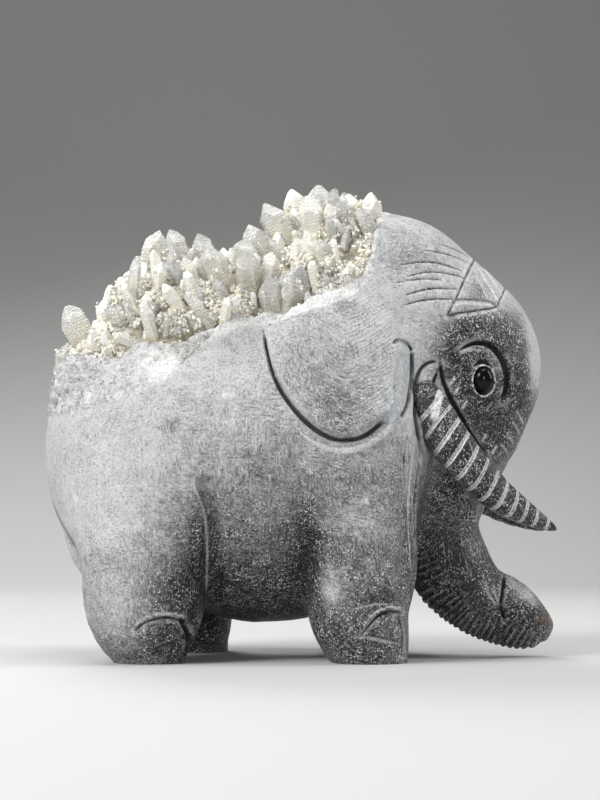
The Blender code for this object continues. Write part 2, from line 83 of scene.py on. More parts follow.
MASSES = [
    ("rump", (-38, 0, 69), (36, 41, 44), 0, 0),
    ("barrel", (-2, 0, 64), (50, 43, 52), 0, 14),
    ("belly", (4, 0, 32), (38, 26, 19.2), 0, 5),
    ("shoulders", (28, 0, 72), (30, 41, 48), 0, 14),
    ("crown", (40, 0, 118), (34, 30, 32), 0, 10),
    ("skull", (56, 0, 97), (38, 27, 38), 0, 8),
    ("bed_rear", (-55, 0, 90), (16.5, 31, 16.5), 0, 5),
    ("bed_hind", (-36, 0, 104), (20, 30, 27), 0, 6),
    ("bed_middle", (-12, 0, 107), (32, 31, 24), 0, 8),
    ("bed_fore", (25, 0, 124), (23, 26, 29), 0, 7),
    ("ear", (24, 30, 93), (22, 9.5, 27), -14, 4),
]
TRUNK = [(66, 0, 74, 19), (61, 0, 57, 15.5), (58.5, 0, 44, 14), (62.5, 0, 30, 14.3), (70.5, 0, 20.2, 12.4),
         (80.5, 0, 15.1, 11.8), (88, 0, 11.2, 8.7), (92.3, 0, 10.6, 5.2)]
TRUNK_WIDTH = 0.88
LIMBS = [
    ("front_leg", [(28, 20, 66, 24), (31, 24, 46, 19.3), (32, 26, 30, 18), (30.8, 26, 18, 16.8),
                   (33, 26, 8.5, 14.2), (35.6, 26, 1, 11.2), (36, 26, -8, 9.6)], 0.92, 7),
    ("hind_leg", [(-38, 18, 52, 26), (-37.5, 24, 34, 21.5), (-38, 26, 19, 19.4), (-36.6, 26.5, 9, 14.2),
                  (-35.4, 27, 1, 11), (-35, 27, -8, 9.6)], 0.88, 7),
    ("trunk", TRUNK, TRUNK_WIDTH, 6),
    ("tail", [(-68.5, 0, 62, 3), (-68.2, 0, 52, 3), (-65.2, 0, 43, 3.2), (-62.5, 0, 35, 3.4),
              (-59.5, 0, 28.5, 2.4)], 1.1, 2),
]
TUSK = [(51, 19, 90, 4.5), (53, 25, 85, 5.5), (56.5, 26, 77.5, 7.2), (60.6, 26.5, 71, 7.3),
        (67.3, 25.5, 62.6, 6.8), (76.4, 22, 53.8, 5.6), (86.2, 17.5, 47.6, 3.9), (96.6, 13.4, 42.5, 1.0)]
# The pale leaf at the tusk's root: x and z along its middle
TUSK_LEAF = [(57.4, 86.5), (56, 82), (55.2, 78.5)]
LIMB_STEPS = 5
LEFT_HIND_STEP = 11.5  # how far the left hind foot is ahead of the right one
STEP_REACH = 45.0  # height above the sole over which that step dies out
STEP_ACROSS = 20.0  # how far from side to side it takes to come in

# Lower edge of the quartz that is ground flush with the stone, and the edge where the crystals begin: x and z
FLUSH_EDGE = [(-75, 79.5), (-64.6, 79.6), (-58.2, 80.6), (-51.9, 81.5), (-43.9, 84.4), (-35.9, 87.3),
              (-29, 91.5), (-24.5, 98), (-17.6, 103.4), (-12.1, 106), (-7.3, 107.2), (-0.2, 108.4),
              (7.2, 110), (16, 112.5), (25.1, 116.2), (30.3, 119.4), (34, 123), (36.5, 134), (38, 144),
              (44, 150), (50, 158)]
CRYSTAL_EDGE = [(-75, 96), (-65.7, 99.5), (-57.6, 99), (-52.7, 98.5), (-46.2, 98), (-41, 102), (-31.7, 103),
                (-25.2, 102.5), (-22.2, 105.2), (-18, 107), (-10.8, 110), (-4.3, 111.8), (2.3, 113),
                (12.1, 115.8), (20.3, 119), (26.8, 121.6), (31.7, 124.5), (34.5, 130), (36, 138),
                (37.5, 146), (42, 152), (50, 160)]
BED_FRONT = 45.0

EAR_GROOVE = [(0.4, 106.7), (1, 100.4), (2.9, 93.4), (5.8, 87), (9.6, 81.3), (14, 76.3), (18.4, 72.8),
              (23.4, 70.6), (28.5, 70.6), (32.3, 71.8), (36, 74.4), (39.5, 77.5)]
EAR_REST = [(41.5, 84), (42.5, 100), (42, 113), (30, 119), (14, 112)]
EAR_RAISED = 2.2
EAR_EDGE = 1.8
EAR_FADE = 13.0
CHISEL_AXIS = 27.0  # x of the line that the ear's chisel marks hang from
CHISEL_RISE = 0.72
CHISEL_PITCH = 1.5

# Cuts seen from the side: depth, half width, cut right over the middle, painted shade inside, chalk inside,
# share of the width at its start, middle and end, and its points
CUTS = {
    "ear_groove": (2.0, 1.0, False, 0.92, 0.0, (0.45, 0.9, 0.8), EAR_GROOVE),
    "ear_notch": (1.4, 0.9, False, 1.0, 0.0, (0.8, 1, 0.6),
        [(42.3, 102.2), (44, 103.3), (46.5, 102.6), (48.6, 100.2)]),
    "ear_front": (1.2, 0.9, False, 0.9, 0.0, (0.7, 1, 0.7),
        [(48.4, 100), (48.6, 91), (46.9, 83), (44.6, 78)]),
    "fold_low": (1.3, 1.0, False, 0.9, 0.0, (0.6, 0.9, 1),
        [(57.2, 96.6), (54.7, 96.7), (52.1, 95.2), (50.3, 92), (49.6, 87.3), (49.5, 80.8), (50.4, 74.4),
         (51.9, 67.9)]),
    "tusk_rim": (1.2, 1.0, False, 0.9, 0.0, (0.6, 1, 1),
        [(56.8, 93.6), (54.9, 88.5), (53.6, 82.8), (53, 76), (53.8, 70)]),
    "cheek": (1.5, 1.1, False, 1.0, 0.0, (0.6, 1, 0.6),
        [(57.6, 97.4), (58.4, 91.5), (60, 87), (62.6, 82), (65.2, 77.4), (68.2, 73), (71.6, 68.6),
         (75, 64)]),
    "brow": (1.9, 1.5, False, 1.0, 0.0, (0.3, 1, 0.7),
        [(64.2, 100.8), (66.8, 102.3), (69.4, 103.2), (72.3, 103.2), (75.3, 102), (77.8, 99.6),
         (79.6, 96.2), (80.3, 92.3), (80, 88.3), (78.9, 84.4)]),
    "cap_rear": (0.7, 0.45, True, 0.75, 0.0, (1, 1, 0.8),
        [(72.6, 136), (68.9, 129.4), (66.2, 124), (63.2, 117.8), (59.7, 111.2)]),
    "cap_side": (0.7, 0.48, True, 0.8, 0.0, (1, 1, 0.8),
        [(59.9, 111.6), (63.9, 113), (67.8, 113.8), (71.8, 114.7), (74.7, 115.2), (78.3, 116.4)]),
    "cap_side_upper": (0.5, 0.42, True, 0.55, 0.0, (1, 1, 0.8),
        [(61.3, 116.9), (65.2, 117.6), (69.5, 117.9), (74.4, 117.8), (77, 116.4)]),
    "cap_front": (0.7, 0.42, True, 0.7, 0.0, (1, 1, 0.8),
        [(82.4, 125), (80.2, 121.4), (78.8, 119), (77.5, 116.3)]),
    "ray_1": (0.4, 0.42, True, 0.0, 1.0, (0.7, 1, 1), [(71.4, 132), (74.3, 125.6), (77.8, 118.4)]),
    "ray_2": (0.4, 0.42, True, 0.0, 1.0, (0.7, 1, 1), [(73.2, 132.6), (77, 126.4), (80.3, 120.8)]),
    "ray_3": (0.3, 0.35, True, 0.0, 0.8, (0.6, 1, 0.8), [(70, 129.5), (72.2, 124), (74.2, 118.6)]),
    "ray_4": (0.3, 0.35, True, 0.0, 0.8, (0.6, 1, 0.8), [(74.4, 133), (79, 128), (82.2, 124)]),
    "mane_1": (0.8, 0.42, False, 1.0, 0.0, (0.5, 1, 0.5),
        [(44.1, 128.4), (51.6, 129.8), (58.2, 129.8), (66.5, 127.6)]),
    "mane_2": (0.7, 0.4, False, 0.95, 0.0, (0.5, 1, 0.5),
        [(46.7, 124.5), (54.9, 126.5), (63.2, 126.1), (67.4, 124.8)]),
    "mane_3": (0.7, 0.4, False, 0.95, 0.0, (0.5, 1, 0.5), [(46.2, 118.2), (54.8, 120.7), (64.8, 121)]),
    "mane_4": (0.8, 0.42, False, 1.0, 0.0, (0.5, 1, 0.5),
        [(45.8, 114.9), (51.5, 116.6), (57.4, 117.4), (62.9, 117.4)]),
    "mane_5": (0.6, 0.38, False, 0.9, 0.0, (0.5, 1, 0.5), [(52.3, 134.2), (61.9, 133.4), (69.5, 130.8)]),
    "mane_6": (0.6, 0.38, False, 0.9, 0.0, (0.5, 1, 0.5), [(57.8, 137.4), (64.8, 135.7), (70.9, 133.1)]),
    "mane_7": (0.5, 0.35, False, 0.8, 0.0, (0.5, 1, 0.4),
        [(43, 122.2), (47.5, 123.2), (53, 123.9), (59, 123.8)]),
    "thigh": (1.8, 3.2, False, 0.25, 0.0, (1, 1, 1),
        [(-18, 60), (-16.3, 50), (-15.4, 39), (-15.4, 27), (-16, 18)]),
    "thigh_line": (0.3, 0.45, False, 0.0, 0.55, (0.4, 1, 0.6),
        [(-24.5, 60.5), (-21.5, 56), (-19, 50.5), (-17.6, 44), (-17, 36), (-16.7, 28), (-16.5, 22)]),
    "scar_1": (0.2, 0.35, False, 0.0, 0.6, (0.5, 1, 0.5), [(-49.2, 62.7), (-44, 54.5), (-38.1, 45.4)]),
    "scar_2": (0.2, 0.3, False, 0.0, 0.5, (0.5, 1, 0.5), [(-45.1, 63.6), (-37, 57), (-28.7, 51.7)]),
    "chest_1": (0.5, 0.4, False, 0.8, 0.0, (0.5, 1, 0.5),
        [(51.9, 71.3), (49.6, 58.4), (48.7, 45.6), (50, 29.5)]),
    "chest_2": (0.3, 0.4, False, 0.0, 0.6, (0.5, 1, 0.5), [(49.7, 75), (47.6, 60), (46.7, 46), (47.6, 30)]),
    "chest_3": (0.4, 0.35, False, 0.8, 0.0, (0.5, 1, 0.5), [(46.6, 73), (45.2, 63), (46, 54)]),
    "elbow": (1.6, 3.0, False, 0.3, 0.0, (1, 1, 1), [(16.5, 42), (14, 31), (13, 19)]),
    "nail_front": (1.0, 0.55, False, 0.9, 0.0, (0.5, 1, 1),
        [(31, 9), (32.8, 11), (35.7, 14.4), (39.8, 16.5), (45, 16)]),
    "sole_front": (0.7, 0.5, False, 0.4, 0.7, (0.6, 1, 1), [(27.8, 8.8), (34.1, 8.4), (42.5, 6.6)]),
    "toe_front": (0.8, 0.5, False, 0.8, 0.0, (0.6, 1, 0.7), [(43.6, 15.2), (45, 8.8), (44.6, 2)]),
    "knee": (0.4, 0.45, False, 0.2, 0.6, (0.6, 1, 0.6),
        [(28.4, 17.3), (32.8, 18.4), (37.2, 19.2), (42, 18.6)]),
    "nail_hind": (1.0, 0.55, False, 0.85, 0.0, (0.4, 1, 1),
        [(-40, 10.6), (-35.1, 13.8), (-28.8, 14.7), (-23.8, 13.1)]),
    "toe_hind": (1.7, 1.1, False, 1.0, 0.0, (0.7, 1, 0.7),
        [(-25.2, 14), (-23.2, 9.8), (-22.9, 5.8), (-24.2, 1.5)]),
    "lid_shadow": (0.9, 1.0, False, 1.0, 0.0, (0.3, 1, 0.3),
        [(68.8, 95.4), (70.6, 96.6), (73, 96.8), (75.4, 95)]),
    "lip": (1.3, 0.8, True, 0.95, 0.0, (0.8, 1, 0.6),
        [(80.8, 27.8), (79.8, 24.5), (79.1, 20.5), (78.5, 17.5), (79.8, 12)]),
    "lip_fold_1": (0.8, 0.5, False, 0.3, 0.8, (0.5, 1, 0.7), [(76.4, 25), (76.8, 21), (78.4, 17.4)]),
    "lip_fold_2": (0.7, 0.5, False, 0.3, 0.8, (0.5, 1, 0.7), [(73.9, 25.5), (74.6, 21.5), (77.2, 17.2)]),
}
# Raised or scuffed strips: raise, half width, how pale, share of the width at its start, middle and end,
# and its points
STRIPS = {
    "ear_lip": (0.45, 1.1, 0.62, (0.15, 1, 1),
        [(9.5, 76), (12.4, 73), (15.9, 70), (20.3, 67.9), (25.9, 66.9), (31.6, 68.2), (37.3, 71.6),
         (41.8, 76.3)]),
    "ear_edge": (0.0, 0.7, 0.4, (0.6, 0.6, 0.6), [(3, 104), (4, 96), (6.4, 89.5), (10, 83.2), (14.5, 78.4)]),
    "fold_strip": (0.3, 0.75, 0.55, (0.6, 1, 0.7), [(53.6, 93.2), (51.9, 89), (51.4, 81), (52, 73)]),
    "front_strip": (0.3, 0.5, 0.5, (0.5, 1, 0.5), [(50, 101.5), (48.9, 95), (48.2, 84), (47.8, 76)]),
    "lid": (0.15, 0.6, 0.5, (0.3, 1, 0.2), [(63.8, 99.4), (66.6, 100.6), (69.6, 100.9), (72.4, 100.2)]),
    "cap_lip": (0.1, 0.45, 0.75, (1, 1, 0.5), [(61.4, 115.6), (66, 116.3), (71.5, 116.6), (76.6, 115.9)]),
    "cap_rear_lip": (0.1, 0.4, 0.7, (1, 1, 0.5),
        [(71.2, 136), (67.6, 129.4), (64.9, 124), (61.9, 117.8), (59, 112.6)]),
    "cap_low_lip": (0.1, 0.4, 0.7, (0.5, 1, 1), [(61.4, 110.8), (66.4, 112.3), (71.4, 113.3), (77.6, 115)]),
    "trunk_top": (0.0, 2.0, 0.3, (0.6, 1, 0.6), [(82, 25.6), (86.4, 22), (91, 17.4)]),
    "nail_front_lip": (0.1, 0.4, 0.85, (0.4, 1, 1), [(32, 12), (35, 15.8), (39.6, 18), (44.5, 17.5)]),
    "nail_hind_lip": (0.1, 0.4, 0.8, (0.4, 1, 1), [(-40.2, 12.2), (-35.2, 15.4), (-28.8, 16.3), (-24, 15)]),
}
# Short marks: middle x and z, lean from upright in degrees, length, how much chalk
DASHES = [(61.6, 90.5, 34, 2.1, 1.0), (63, 87.3, 34, 2.1, 1.0), (65.8, 83.1, 32, 2.4, 1.0),
          (72.9, 72.4, 28, 2.2, 1.0), (76.6, 68.6, 28, 2.4, 1.0), (85.6, 79.6, -40, 4.2, 0.5),
          (84.3, 76.2, -42, 4.2, 0.5), (82.2, 72.6, -42, 4, 0.5), (80.2, 69.2, -44, 3.6, 0.4)]
DASH_HALF_WIDTH = 0.5

TRUNK_REAR = 51.0  # the trunk's lower part is ahead of here
TEETH_TOP = 42.0  # and its folds are below here
TRUNK_FOLDS = 50
TRUNK_FOLD_HEIGHT = 0.8
TRUNK_FOLD_STEPS = 40
TUSK_STEPS = 44
TUSK_AROUND = 44
TUSK_STRIPES = 12
TUSK_STRIPE_DEPTH = 0.35
TUSK_DARK = 0.8
TUSK_SLANTS = (28.0, 5.0)  # degrees that the stripes lean back from square, at the root and the tip

# Where the colour is darkened, seen from the side: x, z, reach along x, reach along z, how dark. The face,
# trunk, tusk and feet are the stone's own dark polish; the broad patches low on the body also add painted shade
# under the belly
DARK_PATCHES = [(0, 10, 80, 30, 0.4), (20, 42, 60, 26, 0.18), (-6, 64, 24, 24, 0.2), (-2, 40, 22, 14, 0.1),
                (-42, 33, 16, 12, 0.1), (70, 94, 12.5, 17, 0.86), (80, 80, 12, 17, 0.86),
                (62, 100, 7, 9, 0.4), (72, 109, 10, 5, 0.4), (83, 99, 6, 14, 0.5), (60, 47, 12, 18, 0.84),
                (66, 27, 15, 12, 0.8), (86, 12, 14, 9, 0.85), (50, 52, 5.5, 30, 0.03),
                (8, 99, 10, 12, 0.08), (36, 3, 15, 9, 0.3), (14, 30, 5, 20, 0.5), (-19, 34, 5, 15, 0.55),
                (-23, 22, 9, 8, 0.44), (0, 14, 22, 11, 0.34), (-27, 5, 11, 9, 0.36), (25, 92, 20, 20, 0.13),
                (24, 80, 12, 9, 0.26), (12, 96, 7, 12, 0.06), (72, 121, 4, 4, 0.25), (33, 60, 14, 14, 0.2),
                (36, 20, 8, 8, 0.3), (28, 36, 14, 8, 0.12), (-30, 75, 3.5, 2.2, 0.2),
                (48, 132, 16, 10, 0.28), (28, 114, 9, 4, 0.24)]
# The patch at x 90.5 and z 103, along the forehead's front edge, is a painted highlight.
PALE_PATCHES = [(67.7, 35, 4.5, 5.5, 0.5), (73, 24.5, 3, 3.5, 0.4), (86.5, 20.5, 5, 2, 0.3),
                (90.5, 103, 2.4, 14, 0.5), (21, 24, 5, 7, 0.4), (31, 44, 9, 4.5, 0.16),
                (-52, 60, 20, 26, 0.24), (57, 83, 1.5, 5, 0.35), (52, 122, 16, 12, 0.1),
                (-44, 20, 8, 10, 0.2), (47.5, 92, 4.5, 12, 0.26), (51, 62, 3, 12, 0.2)]
RUST_PATCHES = [(94, 13, 3.2, 3, 0.35), (-26.8, 103.4, 4, 2, 0.9), (-22, 101, 2.6, 1.6, 0.5)]
# Where the flush quartz is plain white: x, z, its reach along x and z, how white
WHITE_PATCH = (-32.4, 95.6, 8.5, 6.5, 1.4)
# Small white inclusions in the stone: x, z, radius
WHITE_SPOTS = [(-11, 84.9, 1.3), (-8.2, 79.5, 0.8), (-9.4, 76, 0.6), (33, 51, 0.5), (-60, 52, 0.6),
               (4, 92, 0.4)]
# The smooth pale strip in front of the ear: x and z along its middle, half width
BAND = [(45, 101.2), (44.9, 96.3), (44.4, 89.9), (42.8, 83), (40.4, 77.6)]
BAND_HALF_WIDTH = 2.7

# The large crystals: foot, tip and radius
POINTS = [
    ((-57, -4, 100), (-67.5, -4, 117.5), 4.8),
    ((-50.4, -6, 110), (-52, -6, 124.8), 2.6),
    ((-38.5, -8, 120), (-43.3, -8, 134.2), 3.5),
    ((-38.5, -9, 120), (-35, -9, 142.8), 4.8),
    ((-27, 2, 124), (-32.5, 2, 145), 4.6),
    ((-19, -6, 121), (-22.5, -6, 142.2), 4.9),
    ((-11, -10, 122), (-14.5, -10, 134.8), 2.9),
    ((-9, -9, 122), (-6.3, -9, 140.2), 4.4),
    ((6, -4, 128), (-5.4, -4, 145.6), 4.8),
    ((13, -6, 131), (-0.3, -6, 152.4), 4.8),
    ((15, -3, 134), (9, -3, 158), 4.3),
    ((20, 0, 134), (18.2, 0, 160), 6.8),
    ((27, 2, 134), (27.6, 2, 157.6), 6.6),
    ((32, 4, 134), (35, 4, 155.6), 5.8),
    ((19, -16, 121), (15.7, -16, 144), 4.7),
    ((12, -15, 126), (11.2, -15, 140), 3.0),
    ((28.7, -25, 118), (28.4, -26, 129.5), 2.4),
    ((7, -19, 112), (12.4, -27, 128), 6.2),
    ((4.4, -20, 111), (1.6, -28, 124.5), 4.4),
    ((-34, -17, 104), (-37.4, -21, 118), 3.6),
    ((-44, -15, 103), (-48, -19, 116.5), 3.1),
]
TIP_SLOPE = (48.0, 64.0)  # degrees that a crystal's end faces lean
WORN_EDGE = 0.09  # width of a crystal's worn edges as a share of its radius
FILL_SEED = 41
FILL_ROWS = 15
FILL_ACROSS = 5
FILL_REACH = 25.0  # how far out from the middle plane they grow
FILL_LENGTH = (5.0, 12.0)
FILL_RADIUS = (2.3, 4.3)
# The height that no crystal's tip passes: x and z
SKYLINE = [(-72, 92), (-64, 101), (-56, 108), (-50, 115), (-45, 127), (-38, 137), (-20, 137), (-8, 137),
           (4, 146), (11, 155), (34, 155), (42, 153)]

SKIN_GRAIN = 1.4  # size of the stone's first faces, before they are halved where it is carved
STONE_TRIANGLES = 194000  # what the carved mesh is thinned to
YOUNG_COUNT = 300  # smaller points between the large ones
YOUNG_RADIUS = (0.8, 2.3)
YOUNG_LENGTH = (1.8, 5.2)  # in radii
CRUST_COUNT = 15000  # crumbs of the crust
EDGE_COUNT = 3200  # white crumbs along the ground edge
EDGE_REAR = -26.0  # they lie ahead of here
EDGE_BAND = 3.2  # and this high above the edge
CRUMB_SHAPES = 24
GRAIN_SEED = 7
# What the stone's mesh carries for its material: how dark it is, with painted shade on its undersides and low
# on the belly; the painted shade in cuts, creases, folds and eye holes; chalk, with a painted highlight along
# the dark cuts' edges; crystal bed, flush quartz, the strip by the ear, the ear, the height that its chisel
# marks follow, rust and the bed's hollows
SURFACE = ("dark_and_shade", "shade", "chalk_and_highlight", "bed", "flush", "band", "ear", "chisel", "rust", "deep")
MILKY_POINTS = {1, 10, 14, 15, 16}  # which of the large points are milky, counted from 0


# The form as a distance field, below zero inside the stone


def smooth_path(stations, steps):
    """Points of a Catmull-Rom curve through the stations, whatever each station holds."""
    stations = np.array(stations, float)
    ends = np.vstack([2 * stations[0] - stations[1], stations, 2 * stations[-1] - stations[-2]])
    found = []
    for a, b, c, d in zip(ends, ends[1:], ends[2:], ends[3:]):
        for t in np.arange(steps) / steps:
            found.append(0.5 * (2 * b + (c - a) * t + (2 * a - 5 * b + 4 * c - d) * t**2
                                + (3 * b - a - 3 * c + d) * t**3))
    return np.vstack([found, stations[-1:]])


def nearest_on_path(points, path):
    """Distance from each point to the path's skin, and how far along the path that is."""
    best = np.full(len(points), np.inf)
    along = np.zeros(len(points))
    start = 0.0
    for a, b in zip(path, path[1:]):
        step = b[:3] - a[:3]
        length = np.linalg.norm(step)
        t = np.clip((points - a[:3]) @ step / length**2, 0, 1)
        gap = np.linalg.norm(points - a[:3] - t[:, None] * step, axis=1) - a[3] - t * (b[3] - a[3])
        along = np.where(gap < best, start + t * length, along)
        best = np.minimum(best, gap)
        start += length
    return best, along / start


def mass_distance(points, centre, radii, tilt):
    turn = math.radians(tilt)
    local = points - np.array(centre, float)
    turned = np.column_stack([
        local[:, 0] * math.cos(turn) - local[:, 2] * math.sin(turn),
        local[:, 1],
        local[:, 0] * math.sin(turn) + local[:, 2] * math.cos(turn),
    ])
    radii = np.array(radii, float)
    k0 = np.linalg.norm(turned / radii, axis=1)
    k1 = np.linalg.norm(turned / radii**2, axis=1)
    return k0 * (k0 - 1) / np.maximum(k1, 1e-9)


def squeezed(points, path, width):
    plane = path[:, 1].mean()
    moved = points.copy()
    moved[:, 1] = plane + (points[:, 1] - plane) / width
    return moved


def smooth_min(a, b, blend):
    if blend <= 0:
        return np.minimum(a, b)
    h = np.maximum(blend - np.abs(a - b), 0) / blend
    return np.minimum(a, b) - h * h * blend / 4


def step_ahead(y, z):
    """How far forward the hind leg stands here: all of the step at the left sole, none on the right."""
    return LEFT_HIND_STEP * np.clip(1 - z / STEP_REACH, 0, 1) * np.clip(y / STEP_ACROSS + 0.5, 0, 1)


def stepped(points, name):
    """The left hind foot stands forward of the right one."""
    folded = points.copy()
    folded[:, 1] = np.abs(points[:, 1])
    if name == "hind_leg":
        folded[:, 0] -= step_ahead(points[:, 1], points[:, 2])
    return folded


PATHS = {name: smooth_path(stations, LIMB_STEPS) for name, stations, _, _ in LIMBS}


def field(points):
    folded = stepped(points, "")
    value = None
    for _, centre, radii, tilt, blend in MASSES:
        here = mass_distance(folded, centre, radii, tilt)
        value = here if value is None else smooth_min(value, here, blend)
    for name, _, width, blend in LIMBS:
        path = PATHS[name]
        local = stepped(points, name)
        reach = path[:, 3].max() + 2 * blend + 4
        low, high = path[:, :3].min(0) - reach, path[:, :3].max(0) + reach
        near = np.all((local > low) & (local < high), axis=1)
        gap, _ = nearest_on_path(squeezed(local[near], path, width), path)
        here = value[near]
        value[near] = smooth_min(here, gap * min(1, width), blend)
    return value


def slope(points, step=0.05):
    """Unit normals of the field."""
    here = field(points)
    rise = np.column_stack([field(points + np.eye(3)[axis] * step) - here for axis in range(3)])
    return rise / np.maximum(np.linalg.norm(rise, axis=1, keepdims=True), 1e-9)


def settle(points, rounds):
    """Moves points that lie near the surface onto it."""
    for _ in range(rounds):
        points = points - slope(points) * np.clip(field(points), -2, 2)[:, None]
    return points


# Relief


def smooth_step(value, low, high):
    t = np.clip((value - low) / (high - low), 0, 1)
    return t * t * (3 - 2 * t)


def line_distance(flat, line, reach=8.0):
    """Distance in the side view from each point to a line, and its place along it from 0 to 1.

    Points further than the reach from the line's box count as endlessly far.
    """
    line = np.array(line, float)
    near = np.all((flat > line.min(0) - reach) & (flat < line.max(0) + reach), axis=1)
    if not near.all():
        gap, share = np.full(len(flat), np.inf), np.zeros(len(flat))
        if near.any():
            gap[near], share[near] = line_distance(flat[near], line, np.inf)
        return gap, share
    lengths = np.linalg.norm(np.diff(line, axis=0), axis=1)
    best = np.full(len(flat), np.inf)
    place = np.zeros(len(flat))
    start = 0.0
    for a, b, length in zip(line, line[1:], lengths):
        t = np.clip((flat - a) @ (b - a) / length**2, 0, 1)
        gap = np.linalg.norm(flat - a - t[:, None] * (b - a), axis=1)
        place = np.where(gap < best, (start + t * length) / lengths.sum(), place)
        best = np.minimum(best, gap)
        start += length
    return best, place


def inside_outline(flat, outline):
    inside = np.zeros(len(flat), bool)
    x, z = flat[:, 0], flat[:, 1]
    for (ax, az), (bx, bz) in zip(outline, outline[1:] + outline[:1]):
        crosses = (az > z) != (bz > z)
        inside ^= crosses & (x < ax + (z - az) * (bx - ax) / (bz - az if bz != az else 1e-9))
    return inside


def dash_line(dash):
    x, z, lean, length, _ = dash
    reach = np.array([math.sin(math.radians(lean)), math.cos(math.radians(lean))]) * length / 2
    return [np.array([x, z]) - reach, np.array([x, z]) + reach]


def patches(points, table):
    total = np.zeros(len(points))
    for x, z, reach_x, reach_z, weight in table:
        total += weight * np.exp(-(((points[:, 0] - x) / reach_x) ** 2) - ((points[:, 2] - z) / reach_z) ** 2)
    return total


def noise_at(points, size, seed=0.0):
    """Smooth noise from -1 to 1 with lumps of about this size."""
    shift = Vector((seed, seed * 0.7, -seed))
    return np.array([noise.noise(Vector(p) / size + shift) for p in points])


def edge_height(line, x):
    return np.interp(x, *np.array(line, float).T)


def bed_shares(points):
    """How much each point is crystal bed, and how much it is quartz ground flush with the stone."""
    ragged = 1.2 * noise_at(points, 5, 5.0) + 0.5 * noise_at(points, 1.6, 9.0)
    behind = points[:, 0] < BED_FRONT + 5
    ground = smooth_step(points[:, 2] - edge_height(FLUSH_EDGE, points[:, 0]) + ragged, -0.5, 0.7) * behind
    inner = smooth_step(points[:, 2] - edge_height(CRYSTAL_EDGE, points[:, 0]) + ragged, -0.3, 1.0) * behind
    return inner, ground * (1 - inner)


def eye_frame(side):
    """The bead's frame in parts: its origin on the stone's skin and Z along the outward normal."""
    x, z = EYE_AT
    inner, outer = 0.0, 60.0
    for _ in range(30):
        middle = (inner + outer) / 2
        if field(np.array([[x, middle, z]]))[0] < 0:
            inner = middle
        else:
            outer = middle
    normal = slope(np.array([[x, inner, z]]))[0]
    out = Vector((normal[0], normal[1] * side, normal[2]))
    return Matrix.Translation((x, inner * side, z)) @ out.to_track_quat("Z", "X").to_matrix().to_4x4()


def from_eye(points):
    """Distance in the skin of each point from the nearer bead's rim, below zero inside it."""
    best = np.full(len(points), np.inf)
    for side in (-1, 1):
        place = np.array(eye_frame(side))
        local = (points - place[:3, 3]) @ place[:3, :3]
        share = np.hypot(local[:, 0] / (EYE_TALL / 2), local[:, 1] / (EYE_WIDE / 2))
        rim = (share - 1) * (EYE_TALL + EYE_WIDE) / 4
        best = np.where(np.abs(local[:, 2]) < 8, np.minimum(best, rim), best)
    return best


def cut_profile(flat, half_width, swell, line):
    """How deep a cut is at each point, from 0 to 1, and the distance from its middle."""
    gap, place = line_distance(flat, smooth_path(line, 4))
    width = half_width * np.interp(place, (0, 0.5, 1), swell)
    ends = smooth_step(place, 0, 0.07) * smooth_step(1 - place, 0, 0.07) * 0.75 + 0.25
    return np.clip(1 - (gap / np.maximum(width, 0.05)) ** 2, 0, 1) ** 0.8 * ends, gap, width


def cell_facets(points, chosen, size, seed):
    """Tilted flat facets, one in each cell of this size."""
    found = np.zeros(len(points))
    for index in np.flatnonzero(chosen):
        spot = Vector(points[index]) / size + Vector((seed, seed, seed))
        _, centres = noise.voronoi(spot)
        turn = noise.cell_vector(centres[0] * 7.3) - Vector((0.5, 0.5, 0.5))
        found[index] = (spot - centres[0]).dot(turn) * 2 + (noise.cell(centres[0] * 3.1) - 0.5) * 0.6
    return found


def bed_relief(points, inner):
    """Clusters, lumps and crumbs of the crust, mostly sunk under the forms that the crystals rise from."""
    found = np.zeros(len(points))
    for index in np.flatnonzero(inner > 0.01):
        spot = Vector(points[index])
        cluster = noise.voronoi(spot / 9.5)[0][0]
        lump = noise.voronoi(spot / 3.6 + Vector((3, 1, 2)))[0][0]
        found[index] = 5.5 * (0.5 - cluster) + 2.4 * (0.5 - lump) + 0.7 * noise.noise(spot / 1.5) - 1.4
    return found


class Skin:
    """Points of the stone's skin, and what the carving has done to each of them so far."""

    def __init__(self, points, normals):
        self.points = points
        self.normals = normals
        self.flat = points[:, [0, 2]]
        outward = normals[:, 1] * np.sign(points[:, 1])
        self.faces_out = smooth_step(outward, 0.05, 0.4)
        self.sideways = outward > 0.3
        self.broken = noise_at(points, 4, 6.0) > -0.1
        self.inner, self.flush = bed_shares(points)
        self.plain = 1 - self.inner - self.flush
        self.move = np.zeros(len(points))
        self.shade = np.zeros(len(points))
        self.chalk_and_highlight = np.zeros(len(points))

    def darken(self, amount):
        self.shade = np.maximum(self.shade, amount)

    def whiten(self, amount):
        self.chalk_and_highlight = np.maximum(self.chalk_and_highlight, amount)


